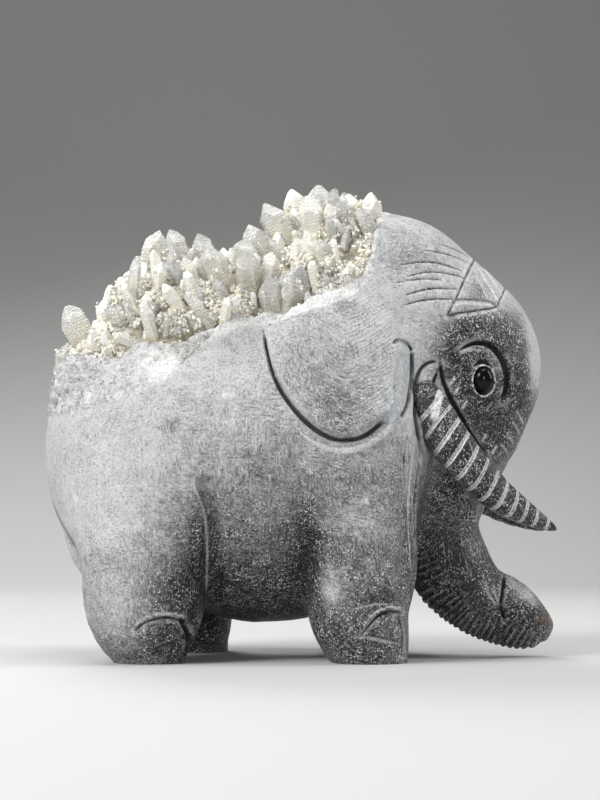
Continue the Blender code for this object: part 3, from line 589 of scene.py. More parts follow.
def cut_lines(skin):
    """The incised lines, with painted shade inside the dark ones and beside them a broken pale lip of chalk and
    painted highlight, and the short chalky dashes.
    """
    depth = np.zeros(len(skin.points))
    scratchy = 0.45 + 0.55 * smooth_step(noise_at(skin.points, 1.9, 12.0), -0.35, 0.05)
    for deep, half_width, over_middle, dark_and_shade, pale, swell, line in CUTS.values():
        cut, gap, width = cut_profile(skin.flat, half_width, swell, line)
        here = 1.0 if over_middle else skin.faces_out
        thin = scratchy if half_width < 0.5 else 1.0
        depth = np.maximum(depth, deep * cut * here)
        # Painted shade inside the cut, darker where the cut is deeper.
        skin.darken(dark_and_shade * smooth_step(cut, 0.15, 0.7) * here * thin)
        skin.whiten(pale * smooth_step(cut, 0.1, 0.6) * here)
        # A broken pale lip beside each dark cut: chalk, and a painted highlight on the cut's edge.
        if dark_and_shade > 0.6:
            lip = np.exp(-(((gap - width * 1.3) / 0.35) ** 2)) * here
            skin.whiten(0.35 * lip * skin.broken)
    for dash in DASHES:
        gap, _ = line_distance(skin.flat, dash_line(dash))
        mark = np.clip(1 - gap / DASH_HALF_WIDTH, 0, 1) * skin.faces_out
        depth = np.maximum(depth, 0.4 * mark)
        skin.whiten(dash[4] * np.minimum(1, 2 * mark))
    skin.move -= depth * skin.plain


def raise_strips(skin):
    """The raised and scuffed strips, and the white inclusions."""
    rise = np.zeros(len(skin.points))
    for lift, half_width, pale, swell, line in STRIPS.values():
        strip = cut_profile(skin.flat, half_width, swell, line)[0]
        strip = np.minimum(1, strip * 1.6) * skin.faces_out
        rise = np.maximum(rise, lift * strip)
        skin.whiten(pale * strip * (1 - skin.shade))
    skin.move += rise * skin.plain
    for x, z, radius in WHITE_SPOTS:
        gap = np.hypot(skin.points[:, 0] - x, skin.points[:, 2] - z)
        skin.whiten(1.5 * (1 - smooth_step(gap, 0.6 * radius, radius)) * (skin.points[:, 1] < 0))


def raise_ear(skin):
    """The ear's raised edge. Gives how much each point lies on the ear's chiselled face."""
    from_groove, _ = line_distance(skin.flat, smooth_path(EAR_GROOVE, 4), 4 * EAR_FADE)
    on_ear = inside_outline(skin.flat, EAR_GROOVE + EAR_REST) * skin.sideways
    lift = smooth_step(from_groove, 0.5, 0.5 + EAR_EDGE) * np.exp(-((from_groove / EAR_FADE) ** 2))
    skin.move += EAR_RAISED * lift * on_ear * (1 - skin.inner)
    face = smooth_step(from_groove, 1.5, 6) * smooth_step(skin.points[:, 0], 11, 17)
    return face * on_ear * skin.plain


def fold_trunk(skin):
    """The fine folds under the trunk, with painted shade in the hollows between them and chalk on their crests.
    """
    near = (skin.points[:, 0] > TRUNK_REAR) & (skin.points[:, 2] < TEETH_TOP)
    normals = skin.normals[near]
    path = smooth_path(TRUNK, TRUNK_FOLD_STEPS)
    gap, along = nearest_on_path(squeezed(skin.points[near], path, TRUNK_WIDTH), path)
    under = smooth_step(-normals[:, 2] - 0.5 * normals[:, 0], 0.05, 0.55)
    teeth, wave = np.zeros(len(skin.points)), np.zeros(len(skin.points))
    teeth[near] = (1 - smooth_step(gap, 2, 5)) * under * smooth_step(along, 0.3, 0.42)
    wave[near] = np.abs(np.sin(along * TRUNK_FOLDS * math.pi))
    skin.move += TRUNK_FOLD_HEIGHT * (wave - 0.8) * teeth
    # Painted shade between the folds.
    skin.darken(0.8 * teeth * smooth_step(-wave, -0.35, 0))
    skin.whiten(0.3 * teeth * smooth_step(wave, 0.9, 1.0) * skin.broken)


def shade_tail(skin):
    """Painted shade in the crease along the tail's edge, and its scuffed middle."""
    from_tail, _ = nearest_on_path(skin.points, PATHS["tail"])
    lower = smooth_step(skin.points[:, 2], 66, 50)
    skin.darken(0.75 * np.exp(-(((from_tail - 1.1) / 0.6) ** 2)) * lower)
    skin.whiten(0.4 * (1 - smooth_step(from_tail, 0.1, 0.6)) * lower)


def smooth_band(skin):
    """The smooth strip in front of the ear, free of cuts. Gives how much each point lies on it."""
    gap, place = line_distance(skin.flat, smooth_path(BAND, 4))
    width = BAND_HALF_WIDTH * np.interp(place, (0, 0.6, 1), (1, 1, 0.75))
    band = (1 - smooth_step(gap - width, -0.4, 0.1)) * skin.faces_out * skin.sideways
    skin.move += 0.6 * band
    skin.chalk_and_highlight *= 1 - band
    skin.shade *= 1 - band
    return band


def drill_eyes(skin):
    """The holes that the beads sit in, darkened inside as painted shade, with their chipped collars."""
    rim = from_eye(skin.points)
    hole = 1 - smooth_step(rim, EYE_GAP, EYE_GAP + 0.25)
    chips = noise_at(skin.points, 1.1, 3.0)
    collar = np.exp(-(((rim - EYE_GAP - 0.5) / 0.3) ** 2)) * smooth_step(chips, -0.45, 0.1)
    skin.move += 0.22 * collar - EYE_HOLE * hole
    # Painted shade inside the hole.
    skin.darken(hole)
    skin.chalk_and_highlight[rim < 1.3] = 0
    skin.whiten(1.2 * collar)


def break_quartz(skin):
    """The bed's lumps, the flush quartz's facets and the stone's faint waves. Gives the height of the lumps."""
    points = skin.points
    lumps = bed_relief(points, skin.inner)
    rough = 0.6 + 0.9 * smooth_step(-points[:, 0], 56, 66)
    facets = rough * cell_facets(points, skin.flush > 0.01, 3.4, 2.0) - 0.3
    waves = 0.3 * noise_at(points, 11, 1.0) + 0.1 * noise_at(points, 3.3, 2.0) - 0.32
    skin.move += lumps * skin.inner + facets * skin.flush + waves * skin.plain
    return lumps


def carve(points, normals):
    """Every carved and grown form of the skin: how far each point moves, and what its surface is like."""
    skin = Skin(points, normals)
    cut_lines(skin)
    raise_strips(skin)
    ear = raise_ear(skin)
    fold_trunk(skin)
    shade_tail(skin)
    band = smooth_band(skin)
    drill_eyes(skin)
    lumps = break_quartz(skin)

    milk = np.clip(patches(points, [WHITE_PATCH]), 0, 1) * skin.flush
    granular = smooth_step(points[:, 0], -25, -14)
    skin.whiten(np.maximum(milk, 0.9 * granular * skin.flush))
    dark_and_shade = patches(points, DARK_PATCHES) - patches(points, PALE_PATCHES)
    # Painted shade: the colour is darker where the skin faces down.
    dark_and_shade = np.clip(dark_and_shade + 0.2 * smooth_step(-normals[:, 2], 0.2, 0.9), 0, 1)
    ice = skin.flush * (1 - milk) * (1 - granular)
    chisel = points[:, 2] - CHISEL_RISE * np.sqrt((points[:, 0] - CHISEL_AXIS) ** 2 + 3)
    rust = np.clip(patches(points, RUST_PATCHES), 0, 1) * skin.faces_out
    deep = (1 - smooth_step(lumps, -3.2, 0.2)) * skin.inner
    chalk_and_highlight = np.clip(skin.chalk_and_highlight, 0, 1)
    values = (dark_and_shade, skin.shade, chalk_and_highlight, skin.inner, ice, band, ear, chisel, rust, deep)
    return skin.move, dict(zip(SURFACE, values))


# Meshes


def both_sides(y):
    return [y] if y == 0 else [y, -y]


def unit_ball():
    bm = bmesh.new()
    bmesh.ops.create_icosphere(bm, subdivisions=4, radius=1)
    points = np.array([v.co for v in bm.verts])
    faces = np.array([[v.index for v in face.verts] for face in bm.faces])
    bm.free()
    return points, faces


def rough_skin():
    """The masses and limbs as overlapping balls, welded into one skin by a voxel remesh."""
    places = []
    for _, centre, radii, tilt, _ in MASSES:
        for y in both_sides(centre[1]):
            turn = Matrix.Rotation(math.radians(-tilt), 4, "Y")
            places.append(Matrix.Translation((centre[0], y, centre[2])) @ turn @ Matrix.Diagonal((*radii, 1)))
    for name, stations, width, _ in LIMBS:
        for x, y, z, radius in smooth_path(stations, 12):
            for side_y in both_sides(y):
                ahead = step_ahead(side_y, z) if name == "hind_leg" else 0.0
                stretch = Matrix.Diagonal((radius, radius * width, radius, 1))
                places.append(Matrix.Translation((x + ahead, side_y, z)) @ stretch)
    ball, ball_faces = unit_ball()
    points = np.vstack([ball @ np.array(place.to_3x3()).T + np.array(place.translation) for place in places])
    faces = np.vstack([ball_faces + number * len(ball) for number in range(len(places))])
    mesh = bpy.data.meshes.new("rough_skin")
    mesh.from_pydata(points, [], faces)
    return modified(mesh, "REMESH", mode="VOXEL", voxel_size=SKIN_GRAIN)


@contextmanager
def edited(mesh):
    """The mesh opened for editing, and written back afterwards."""
    bm = bmesh.new()
    bm.from_mesh(mesh)
    yield bm
    bm.to_mesh(mesh)
    bm.free()


def mesh_points(mesh):
    points = np.empty(len(mesh.vertices) * 3)
    mesh.vertices.foreach_get("co", points)
    return points.reshape(-1, 3)


def fineness(points, normals):
    """How many times the edges of a face here are halved: 0 on plain skin, up to 3 at the eyes."""
    flat = points[:, [0, 2]]
    outward = normals[:, 1] * np.sign(points[:, 1]) > 0
    closest = np.full(len(points), np.inf)
    for _, half_width, over_middle, _, _, _, line in CUTS.values():
        gap, _ = line_distance(flat, smooth_path(line, 3))
        reach = gap - half_width
        if half_width > 2:
            reach = reach + 1.0
        closest = np.minimum(closest, np.where(outward | over_middle, reach, np.inf))
    for _, half_width, _, _, line in list(STRIPS.values()) + [(0, BAND_HALF_WIDTH, 0, 0, BAND)]:
        gap, _ = line_distance(flat, smooth_path(line, 3))
        closest = np.minimum(closest, np.where(outward, np.abs(gap - half_width) + 0.3, np.inf))
    for dash in DASHES:
        gap, _ = line_distance(flat, dash_line(dash))
        closest = np.minimum(closest, np.where(outward, gap, np.inf))
    trunk = (points[:, 0] > TRUNK_REAR) & (points[:, 2] < TEETH_TOP - 4) & (normals[:, 2] < 0.2)
    inner, flush = bed_shares(points)
    rim = from_eye(points)
    level = ((closest < 1.3) | trunk | (inner > 0.02) | (flush > 0.02) | (rim < 4)).astype(int)
    level = np.where((closest < 0.25) | (rim < 2), 2, level)
    folded = trunk & (-normals[:, 2] - 0.4 * normals[:, 0] > -0.3)
    level = np.where(folded, np.maximum(level, 2), level)
    return np.where(np.abs(rim - 0.6) < 0.9, 3, level)


def refine(mesh, level, wanted):
    """Halves the edges of the faces that want to be at this level or finer."""
    with edited(mesh) as bm:
        bm.faces.ensure_lookup_table()
        chosen = [bm.faces[int(i)] for i in np.flatnonzero(wanted >= level)]
        edges = list({edge for face in chosen for edge in face.edges})
        bmesh.ops.subdivide_edges(bm, edges=edges, cuts=1, use_grid_fill=True)


def face_centres(mesh):
    centres = np.empty(len(mesh.polygons) * 3)
    mesh.polygons.foreach_get("center", centres)
    return centres.reshape(-1, 3)


def set_points(mesh, points):
    mesh.vertices.foreach_set("co", np.ascontiguousarray(points, dtype=float).ravel())
    mesh.update()


def add_attributes(mesh, values):
    for name, value in values.items():
        layer = mesh.attributes.new(name, "FLOAT", "POINT")
        layer.data.foreach_set("value", np.ascontiguousarray(value, dtype=np.float32))


def find_shift():
    """How far the figure's drawing stands from the frame's origin, from where the right eye's bead is."""
    low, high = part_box("eye_right")
    there = (Vector(low) + Vector(high)) / 2
    drawn = eye_frame(-1) @ Vector((0, 0, EYE_STANDS_OUT - EYE_THICKNESS / 2)) * PART
    return Vector((there.x - drawn.x, 0, 0))


SHIFT = find_shift()


def on_frame(points):
    """The figure's drawing in metres, held inside the solid's box."""
    return np.clip(np.asarray(points) * PART + np.array(SHIFT), *CAD_BOX)


def new_object(name, mesh):
    made = bpy.data.objects.new(name, mesh)
    bpy.context.scene.collection.objects.link(made)
    return made


def build_stone():
    mesh = rough_skin()
    set_points(mesh, settle(mesh_points(mesh), 3))
    for level in (1, 2, 3):
        centres = face_centres(mesh)
        refine(mesh, level, fineness(centres, slope(centres)))
        set_points(mesh, settle(mesh_points(mesh), 1))
    points = settle(mesh_points(mesh), 1)
    normals = slope(points)
    move, surface = carve(points, normals)
    carved = points + normals * move[:, None]
    add_attributes(mesh, surface)
    set_points(mesh, on_frame(carved))
    drop_sunken(mesh)
    mesh.calc_loop_triangles()
    mesh = modified(mesh, "DECIMATE", ratio=min(1.0, STONE_TRIANGLES / len(mesh.loop_triangles)))
    set_points(mesh, np.clip(mesh_points(mesh), *CAD_BOX))
    mesh.shade_smooth()
    return new_object("carved_stone", mesh), carved, normals, surface


def modified(mesh, kind, **settings):
    """The mesh as a modifier of this kind leaves it."""
    block = new_object("block", mesh)
    change = block.modifiers.new("change", kind)
    for key, value in settings.items():
        setattr(change, key, value)
    graph = bpy.context.evaluated_depsgraph_get()
    graph.update()
    made = bpy.data.meshes.new_from_object(block.evaluated_get(graph), depsgraph=graph)
    bpy.data.objects.remove(block, do_unlink=True)
    return made


def drop_sunken(mesh):
    """The soles are one flat face each: what was pressed flat onto the floor is dissolved into it."""
    with edited(mesh) as bm:
        flat = [face for face in bm.faces if all(v.co.z < 1e-6 for v in face.verts)]
        bmesh.ops.dissolve_faces(bm, faces=flat, use_verts=True)


def tusk_stripe(share):
    """How deep in a stripe the place along the tusk is, and how chalky its two edges are."""
    place = share * (TUSK_STRIPES + 2.3) - 1.9
    if place < 0:
        return 0.0, 0.0
    from_middle = abs(place % 1 - 0.5) / 0.14
    inside = max(0.0, 1 - from_middle)
    return min(1.0, inside * 2.2), min(1.0, inside * 5) * (0.5 + 0.5 * min(1.0, from_middle * 2) ** 2)


def build_tusk(name, side):
    """A ring by ring sweep, with pale stripes cut across its outer side."""
    path = smooth_path(TUSK, TUSK_STEPS)
    around = TUSK_AROUND
    steps = np.linalg.norm(np.diff(path[:, :3], axis=0), axis=1)
    along = np.concatenate([[0], np.cumsum(steps)]) / steps.sum()
    turn = np.linspace(0, 2 * math.pi, around, endpoint=False)
    outer = smooth_step(np.cos(turn) + 0.25 * np.sin(turn), -0.25, 0.3)
    points, stripes = [], []
    for index, (spot, share) in enumerate(zip(path, along)):
        ahead = Vector(path[min(index + 1, len(path) - 1), :3] - path[max(index - 1, 0), :3]).normalized()
        slant = Matrix.Rotation(-math.radians(np.interp(share, (0, 1), TUSK_SLANTS)), 3, "Y") @ ahead
        out = Vector((0, 1, 0))
        out = (out - slant * out.dot(slant)).normalized()
        up = out.cross(slant)
        stripe, pale = tusk_stripe(share)
        end = 1 if share < 0.965 else math.sqrt(max(0.02, 1 - ((share - 0.965) / 0.036) ** 2))
        ring = (spot[3] - TUSK_STRIPE_DEPTH * stripe * outer * min(1, spot[3] / 3)) * end
        ring = ring * (1 - 0.035 * np.cos(4 * turn + 0.6))
        ring = np.outer(np.cos(turn) * ring, np.array(out)) + np.outer(np.sin(turn) * ring, np.array(up))
        points.append(spot[:3] + ring)
        stripes.append(pale * outer)
    points = np.vstack(points)
    stripes = np.concatenate(stripes)
    leaf, _ = line_distance(points[:, [0, 2]], smooth_path(TUSK_LEAF, 4))
    stripes = np.maximum(stripes, 0.9 * (1 - smooth_step(leaf, 0.9, 1.6)) * np.tile(outer, len(path)))
    rings = len(path)
    faces = []
    for ring in range(0, (rings - 1) * around, around):
        for a in range(around):
            b = (a + 1) % around
            faces.append([ring + a, ring + b, ring + around + b, ring + around + a])
    faces += [list(range(around))[::-1], list(range((rings - 1) * around, rings * around))]
    points[:, 1] *= side
    points += 0.1 * np.column_stack([noise_at(points, 3, s) for s in (1.0, 4.0, 8.0)])
    mesh = bpy.data.meshes.new(name)
    mesh.from_pydata(on_frame(points), [], faces)
    fix_normals(mesh)
    zero = np.zeros(len(points))
    add_attributes(mesh, {**{key: zero for key in SURFACE}, "dark_and_shade": zero + TUSK_DARK, "chalk_and_highlight": stripes})
    mesh.shade_smooth()
    return new_object(name, mesh)


def fix_normals(mesh):
    with edited(mesh) as bm:
        bmesh.ops.recalc_face_normals(bm, faces=bm.faces)


def cut_off(bm, place, normal):
    """Cuts away what lies beyond a plane and closes the cut."""
    geometry = bm.verts[:] + bm.edges[:] + bm.faces[:]
    cut = bmesh.ops.bisect_plane(bm, geom=geometry, plane_co=place, plane_no=normal, clear_outer=True)
    edges = [item for item in cut["geom_cut"] if isinstance(item, bmesh.types.BMEdge)]
    if len(edges) > 2:
        bmesh.ops.contextual_create(bm, geom=edges)


def quartz_shape(length, radius, chance):
    """One quartz crystal along +Z, cut from a block by its six sides and its uneven end faces.

    Gives its points, its faces, and for each point how much it lies on a worn edge.
    """
    bm = bmesh.new()
    block = Matrix.Translation((0, 0, length / 2)) @ Matrix.Diagonal((radius * 2.8, radius * 2.8, length, 1))
    bmesh.ops.create_cube(bm, size=1, matrix=block)
    angles = [number * math.pi / 3 + chance.gauss(0, 0.05) for number in range(6)]
    squash = chance.uniform(0.72, 1.0)
    for number, angle in enumerate(angles):
        reach = radius * chance.uniform(0.8, 1.0) * (squash if number % 3 == 1 else 1)
        side = Vector((math.cos(angle), math.sin(angle), chance.uniform(0.0, 0.05)))
        cut_off(bm, Vector((side.x, side.y, 0)) * reach + Vector((0, 0, length / 2)), side)
    first = chance.randrange(2)
    for number, angle in enumerate(angles):
        lean = math.radians(chance.uniform(*TIP_SLOPE))
        main = number % 2 == first
        reach = radius * (chance.uniform(0.0, 0.16) if main else chance.uniform(0.15, 0.5))
        side = Vector((math.cos(angle), math.sin(angle), 0))
        slope_out = side * math.sin(lean) + Vector((0, 0, math.cos(lean)))
        cut_off(bm, side * reach + Vector((0, 0, length)), slope_out)
    edges = [edge for edge in bm.edges if max(v.co.z for v in edge.verts) > 0.01 * length]
    made = bmesh.ops.bevel(bm, geom=edges, offset=WORN_EDGE * radius, segments=2, profile=0.6, affect="EDGES",
                           clamp_overlap=True)
    worn = set(made["faces"])
    bm.verts.index_update()
    points = np.array([v.co for v in bm.verts])
    faces = [[v.index for v in face.verts] for face in bm.faces]
    edge = np.array([float(all(face in worn for face in v.link_faces)) for v in bm.verts])
    bm.free()
    return points, faces, edge


def placed(points, foot, tip, spin):
    axis = Vector(tip) - Vector(foot)
    turn = axis.to_track_quat("Z", "Y").to_matrix() @ Matrix.Rotation(spin, 3, "Z")
    return points @ np.array(turn).T + np.array(foot)


def bed_heights(x, y):
    """Height of the crystal bed over each (x, y), found by halving the way down to the field."""
    low, high = np.full(len(x), 60.0), np.full(len(x), 170.0)
    for _ in range(20):
        middle = (low + high) / 2
        inside = field(np.column_stack([x, y, middle])) < 0
        low, high = np.where(inside, middle, low), np.where(inside, high, middle)
    return low


def filling_points():
    """Foot, tip and radius of each point that fills the bed, in rows along the back."""
    chance = random.Random(FILL_SEED)
    start, end = SKYLINE[0][0] + 4, BED_FRONT - 6
    spots = []
    for row in range(FILL_ROWS):
        for column in range(FILL_ACROSS):
            x = start + (end - start) * (row + chance.uniform(0.1, 0.9)) / FILL_ROWS
            y = FILL_REACH * (2 * (column + chance.uniform(0.15, 0.85)) / FILL_ACROSS - 1)
            spots.append((x, y))
    x, y = np.array(spots).T
    z = bed_heights(x, y)
    edge = edge_height(CRYSTAL_EDGE, x)
    found = []
    for x, y, z in zip(x[z > edge + 2], y[z > edge + 2], z[z > edge + 2]):
        length = chance.uniform(*FILL_LENGTH)
        radius = chance.uniform(*FILL_RADIUS)
        lean = Vector((chance.uniform(-0.45, 0.2), y / 34 + chance.uniform(-0.25, 0.25), 1)).normalized()
        foot = Vector((x, y, z)) - lean * 5
        tip = Vector((x, y, z)) + lean * length
        over = tip.z - np.interp(tip.x, *np.array(SKYLINE, float).T)
        if over > 0:
            tip -= lean * min(over / lean.z, length - 3)
        found.append((foot, tip, radius))
    return found


def joined(name, parts, extra):
    """One mesh from many point and face lists, on the frame, with a value for each point."""
    points, faces, start = [], [], 0
    for part_points, part_faces in parts:
        points.append(part_points)
        faces += [[start + i for i in face] for face in part_faces]
        start += len(part_points)
    mesh = bpy.data.meshes.new(name)
    mesh.from_pydata(on_frame(np.vstack(points)), [], faces)
    add_attributes(mesh, {key: np.concatenate(values) for key, values in extra.items()})
    return new_object(name, mesh)


def shaken(chance, spread):
    return [chance.gauss(0, spread) for _ in range(3)]


def young_points(points, normals, inner):
    """Foot, tip and radius of smaller crystals that push out of the bed between the large ones."""
    chance = random.Random(GRAIN_SEED)
    spots = np.flatnonzero((inner > 0.8) & (normals[:, 2] > -0.1))
    found = []
    for _ in range(YOUNG_COUNT):
        spot = chance.choice(spots)
        lean = Vector(normals[spot]) * 0.7 + Vector((-0.25, 0, 0.9)) + Vector(shaken(chance, 0.42))
        lean.normalize()
        radius = chance.uniform(*YOUNG_RADIUS)
        length = radius * chance.uniform(*YOUNG_LENGTH)
        foot = Vector(points[spot]) - lean * 4
        tip = Vector(points[spot]) + lean * length
        over = tip.z - np.interp(tip.x, *np.array(SKYLINE, float).T)
        if over < 0:
            found.append((foot, tip, radius))
    return found


def build_points(skin, normals, surface):
    """The quartz points, the clearer ones and the milky ones apart, and the places of the large ones."""
    groups = {"quartz_clear": [], "quartz_milky": []}
    values = {kind: {"rise": [], "worn": [], "tone": []} for kind in groups}
    large = POINTS + filling_points()
    for number, (foot, tip, radius) in enumerate(large + young_points(skin, normals, surface["bed"])):
        chance = random.Random(number)
        length = (Vector(tip) - Vector(foot)).length
        points, faces, worn = quartz_shape(length, radius, chance)
        milky = number in MILKY_POINTS or (number >= len(POINTS) and chance.random() < 0.55)
        kind = "quartz_milky" if milky else "quartz_clear"
        values[kind]["rise"].append(points[:, 2] - length)
        values[kind]["worn"].append(worn)
        values[kind]["tone"].append(np.full(len(points), chance.random()))
        groups[kind].append((placed(points, foot, tip, chance.uniform(0, math.pi)), faces))
    return [joined(kind, parts, values[kind]) for kind, parts in groups.items()], large


def crumb_shape(chance):
    """A small uneven crystal grain: two points over a ring of five corners."""
    ring = []
    for number in range(5):
        angle = 2 * math.pi * number / 5 + chance.uniform(-0.3, 0.3)
        reach = chance.uniform(0.38, 0.62)
        ring.append((reach * math.cos(angle), reach * math.sin(angle), chance.uniform(0.3, 0.6)))
    top = (chance.uniform(-0.2, 0.2), chance.uniform(-0.2, 0.2), chance.uniform(0.85, 1.2))
    faces = [(a, (a + 1) % 5, 5) for a in range(5)] + [((a + 1) % 5, a, 6) for a in range(5)]
    return np.array(ring + [top, (0, 0, 0)]), faces


def crumb(parts, tones, shape, foot, out, size, chance):
    points, faces = shape
    parts.append((placed(points * size, foot, foot + out * size, chance.uniform(0, math.pi)), faces))
    tones.append(np.full(len(points), chance.random()))


def build_crumbs(points, normals, surface, large):
    """The crust's crumbs on the raised bed and up the large crystals, and white ones by the ground edge."""
    chance = random.Random(GRAIN_SEED + 1)
    shapes = [crumb_shape(chance) for _ in range(CRUMB_SHAPES)]
    crust, crust_tones, white, white_tones = [], [], [], []
    raised = np.flatnonzero((surface["bed"] > 0.5) & (surface["deep"] < 0.75))
    for _ in range(CRUST_COUNT):
        spot = chance.choice(raised)
        out = (Vector(normals[spot]) + Vector(shaken(chance, 0.6))).normalized()
        size = 0.6 + 1.1 * chance.random() ** 2.5
        foot = Vector(points[spot]) - out * size * 0.4 + Vector([chance.uniform(-0.5, 0.5) for _ in range(3)])
        if chance.random() < 0.82:
            crumb(crust, crust_tones, chance.choice(shapes), foot, out, size, chance)
        else:
            crumb(white, white_tones, chance.choice(shapes), foot, out, size * 1.3, chance)
    for foot, tip, radius in large:
        axis = Vector(tip) - Vector(foot)
        turn = axis.to_track_quat("Z", "Y")
        for _ in range(int(radius * 7)):
            angle = chance.uniform(0, 2 * math.pi)
            out = turn @ Vector((math.cos(angle), math.sin(angle), 0.3))
            place = Vector(foot) + axis * (0.35 + 0.4 * chance.random() ** 1.5) + out * radius * 0.72
            crumb(crust, crust_tones, chance.choice(shapes), place, out, chance.uniform(0.6, 1.3), chance)
    above = points[:, 2] - edge_height(FLUSH_EDGE, points[:, 0])
    edge = np.flatnonzero((surface["flush"] > 0.3) & (points[:, 0] > EDGE_REAR) & (above < EDGE_BAND))
    for _ in range(EDGE_COUNT):
        spot = chance.choice(edge)
        out = (Vector(normals[spot]) + Vector(shaken(chance, 0.5))).normalized()
        size = chance.uniform(0.5, 1.3)
        foot = Vector(points[spot]) - out * size * 0.5
        crumb(white, white_tones, chance.choice(shapes), foot, out, size, chance)
    crust_piece = joined("crust_crumbs", crust, {"tone": crust_tones})
    return [crust_piece, joined("white_crumbs", white, {"tone": white_tones})]


def build_eye(name, side):
    bm = bmesh.new()
    shape = (Matrix.Translation((0, 0, EYE_STANDS_OUT - EYE_THICKNESS / 2))
             @ Matrix.Diagonal((EYE_TALL / 2, EYE_WIDE / 2, EYE_THICKNESS / 2, 1)))
    bmesh.ops.create_uvsphere(bm, u_segments=64, v_segments=32, radius=1, matrix=eye_frame(side) @ shape)
    mesh = bpy.data.meshes.new(name)
    bm.to_mesh(mesh)
    bm.free()
    set_points(mesh, on_frame(mesh_points(mesh)))
    mesh.shade_smooth()
    return new_object(name, mesh)


# Materials


class Value:
    """A number or colour that varies over the surface. Arithmetic on it adds the nodes that work it out."""

    def __init__(self, nodes, socket):
        self.nodes = nodes
        self.socket = socket

    def __add__(self, other):
        return self.nodes.math("ADD", self, other)

    def __sub__(self, other):
        return self.nodes.math("SUBTRACT", self, other)

    def __rsub__(self, other):
        return self.nodes.math("SUBTRACT", other, self)

    def __mul__(self, other):
        return self.nodes.math("MULTIPLY", self, other)

    def step(self, low, high, to_low=0.0, to_high=1.0):
        """Goes smoothly from one number to another while the value goes from low to high."""
        inputs = {"Value": self, "From Min": low, "From Max": high, "To Min": to_low, "To Max": to_high}
        return self.nodes.add("ShaderNodeMapRange", inputs, interpolation_type="SMOOTHSTEP")


class Nodes:
    """Adds the nodes of one material and joins them as they are made."""

    def __init__(self, name):
        self.material = bpy.data.materials.new(name)
        self.material.use_nodes = True
        self.tree = self.material.node_tree
        self.shader = self.tree.nodes["Principled BSDF"]
        self.place = self.add("ShaderNodeTexCoord", {}, "Object")

    def put(self, socket, value):
        if isinstance(value, Value):
            self.tree.links.new(value.socket, socket)
        else:
            socket.default_value = value

    def node(self, kind, inputs, **settings):
        made = self.tree.nodes.new(kind)
        for key, value in settings.items():
            setattr(made, key, value)
        for key, value in inputs.items():
            self.put(made.inputs[key], value)
        return made

    def add(self, kind, inputs, output=0, **settings):
        """Adds a node with these inputs, by place or name, and gives one of its outputs."""
        return Value(self, self.node(kind, inputs, **settings).outputs[output])

    def plain(self, **values):
        for key, value in values.items():
            self.put(self.shader.inputs[key.replace("_", " ")], value)

    def attribute(self, name):
        return self.add("ShaderNodeAttribute", {}, "Fac", attribute_name=name)

    def math(self, operation, first, second=0.0, clamp=False):
        return self.add("ShaderNodeMath", {0: first, 1: second}, operation=operation, use_clamp=clamp)

    def most(self, first, second):
        return self.math("MAXIMUM", first, second)

    def vector(self, operation, first, second, output="Vector"):
        return self.add("ShaderNodeVectorMath", {0: first, 1: second}, output, operation=operation)

    def mix(self, share, first, second):
        return self.add("ShaderNodeMix", {0: share, 6: first, 7: second}, 2, data_type="RGBA")

    def blend(self, share, first, second):
        return self.add("ShaderNodeMix", {0: share, 2: first, 3: second}, data_type="FLOAT")

    def noise(self, size, detail=3.0, rough=0.55, where=None):
        """Noise from 0 to 1 with lumps of this size in millimetres."""
        inputs = {"Scale": 1000.0 / size, "Detail": detail, "Roughness": rough, "Vector": where or self.place}
        return self.add("ShaderNodeTexNoise", inputs)

    def cells(self, size, feature, *outputs):
        """The named outputs of a pattern of cells of this size in millimetres."""
        inputs = {"Scale": 1000.0 / size, "Vector": self.place}
        made = self.node("ShaderNodeTexVoronoi", inputs, feature=feature)
        return [Value(self, made.outputs[key]) for key in outputs]

    def specks(self, size, share, reach=0.34):
        """Separate dots, one in each cell of this size in millimetres for this share of the cells."""
        colour, distance = self.cells(size, "F1", "Color", "Distance")
        chance = self.add("ShaderNodeSeparateColor", {"Color": colour})
        return distance.step(reach, reach * 0.6) * chance.step(1 - share, 1.02 - share)

    def streaks(self, tilt, width, length):
        """Noise from 0 to 1 drawn out along a direction that leans back by this tilt in degrees."""
        inputs = {"Vector": self.place, "Rotation": (0.0, math.radians(tilt), 0.0)}
        turned = self.add("ShaderNodeVectorRotate", inputs, rotation_type="EULER_XYZ")
        return self.noise(width, 2.0, 0.6, self.vector("MULTIPLY", turned, (1.0, 1.0, width / length)))

    def scratches(self, tilt, width, length, amount):
        """Thin lines along one direction, from 0 to 1."""
        return self.streaks(tilt, width, length).step(0.62 - amount, 0.74 - amount)

    def bump(self, height, distance, under=None):
        inputs = {"Height": height, "Distance": distance, "Strength": 1.0}
        if under:
            inputs["Normal"] = under
        return self.add("ShaderNodeBump", inputs)


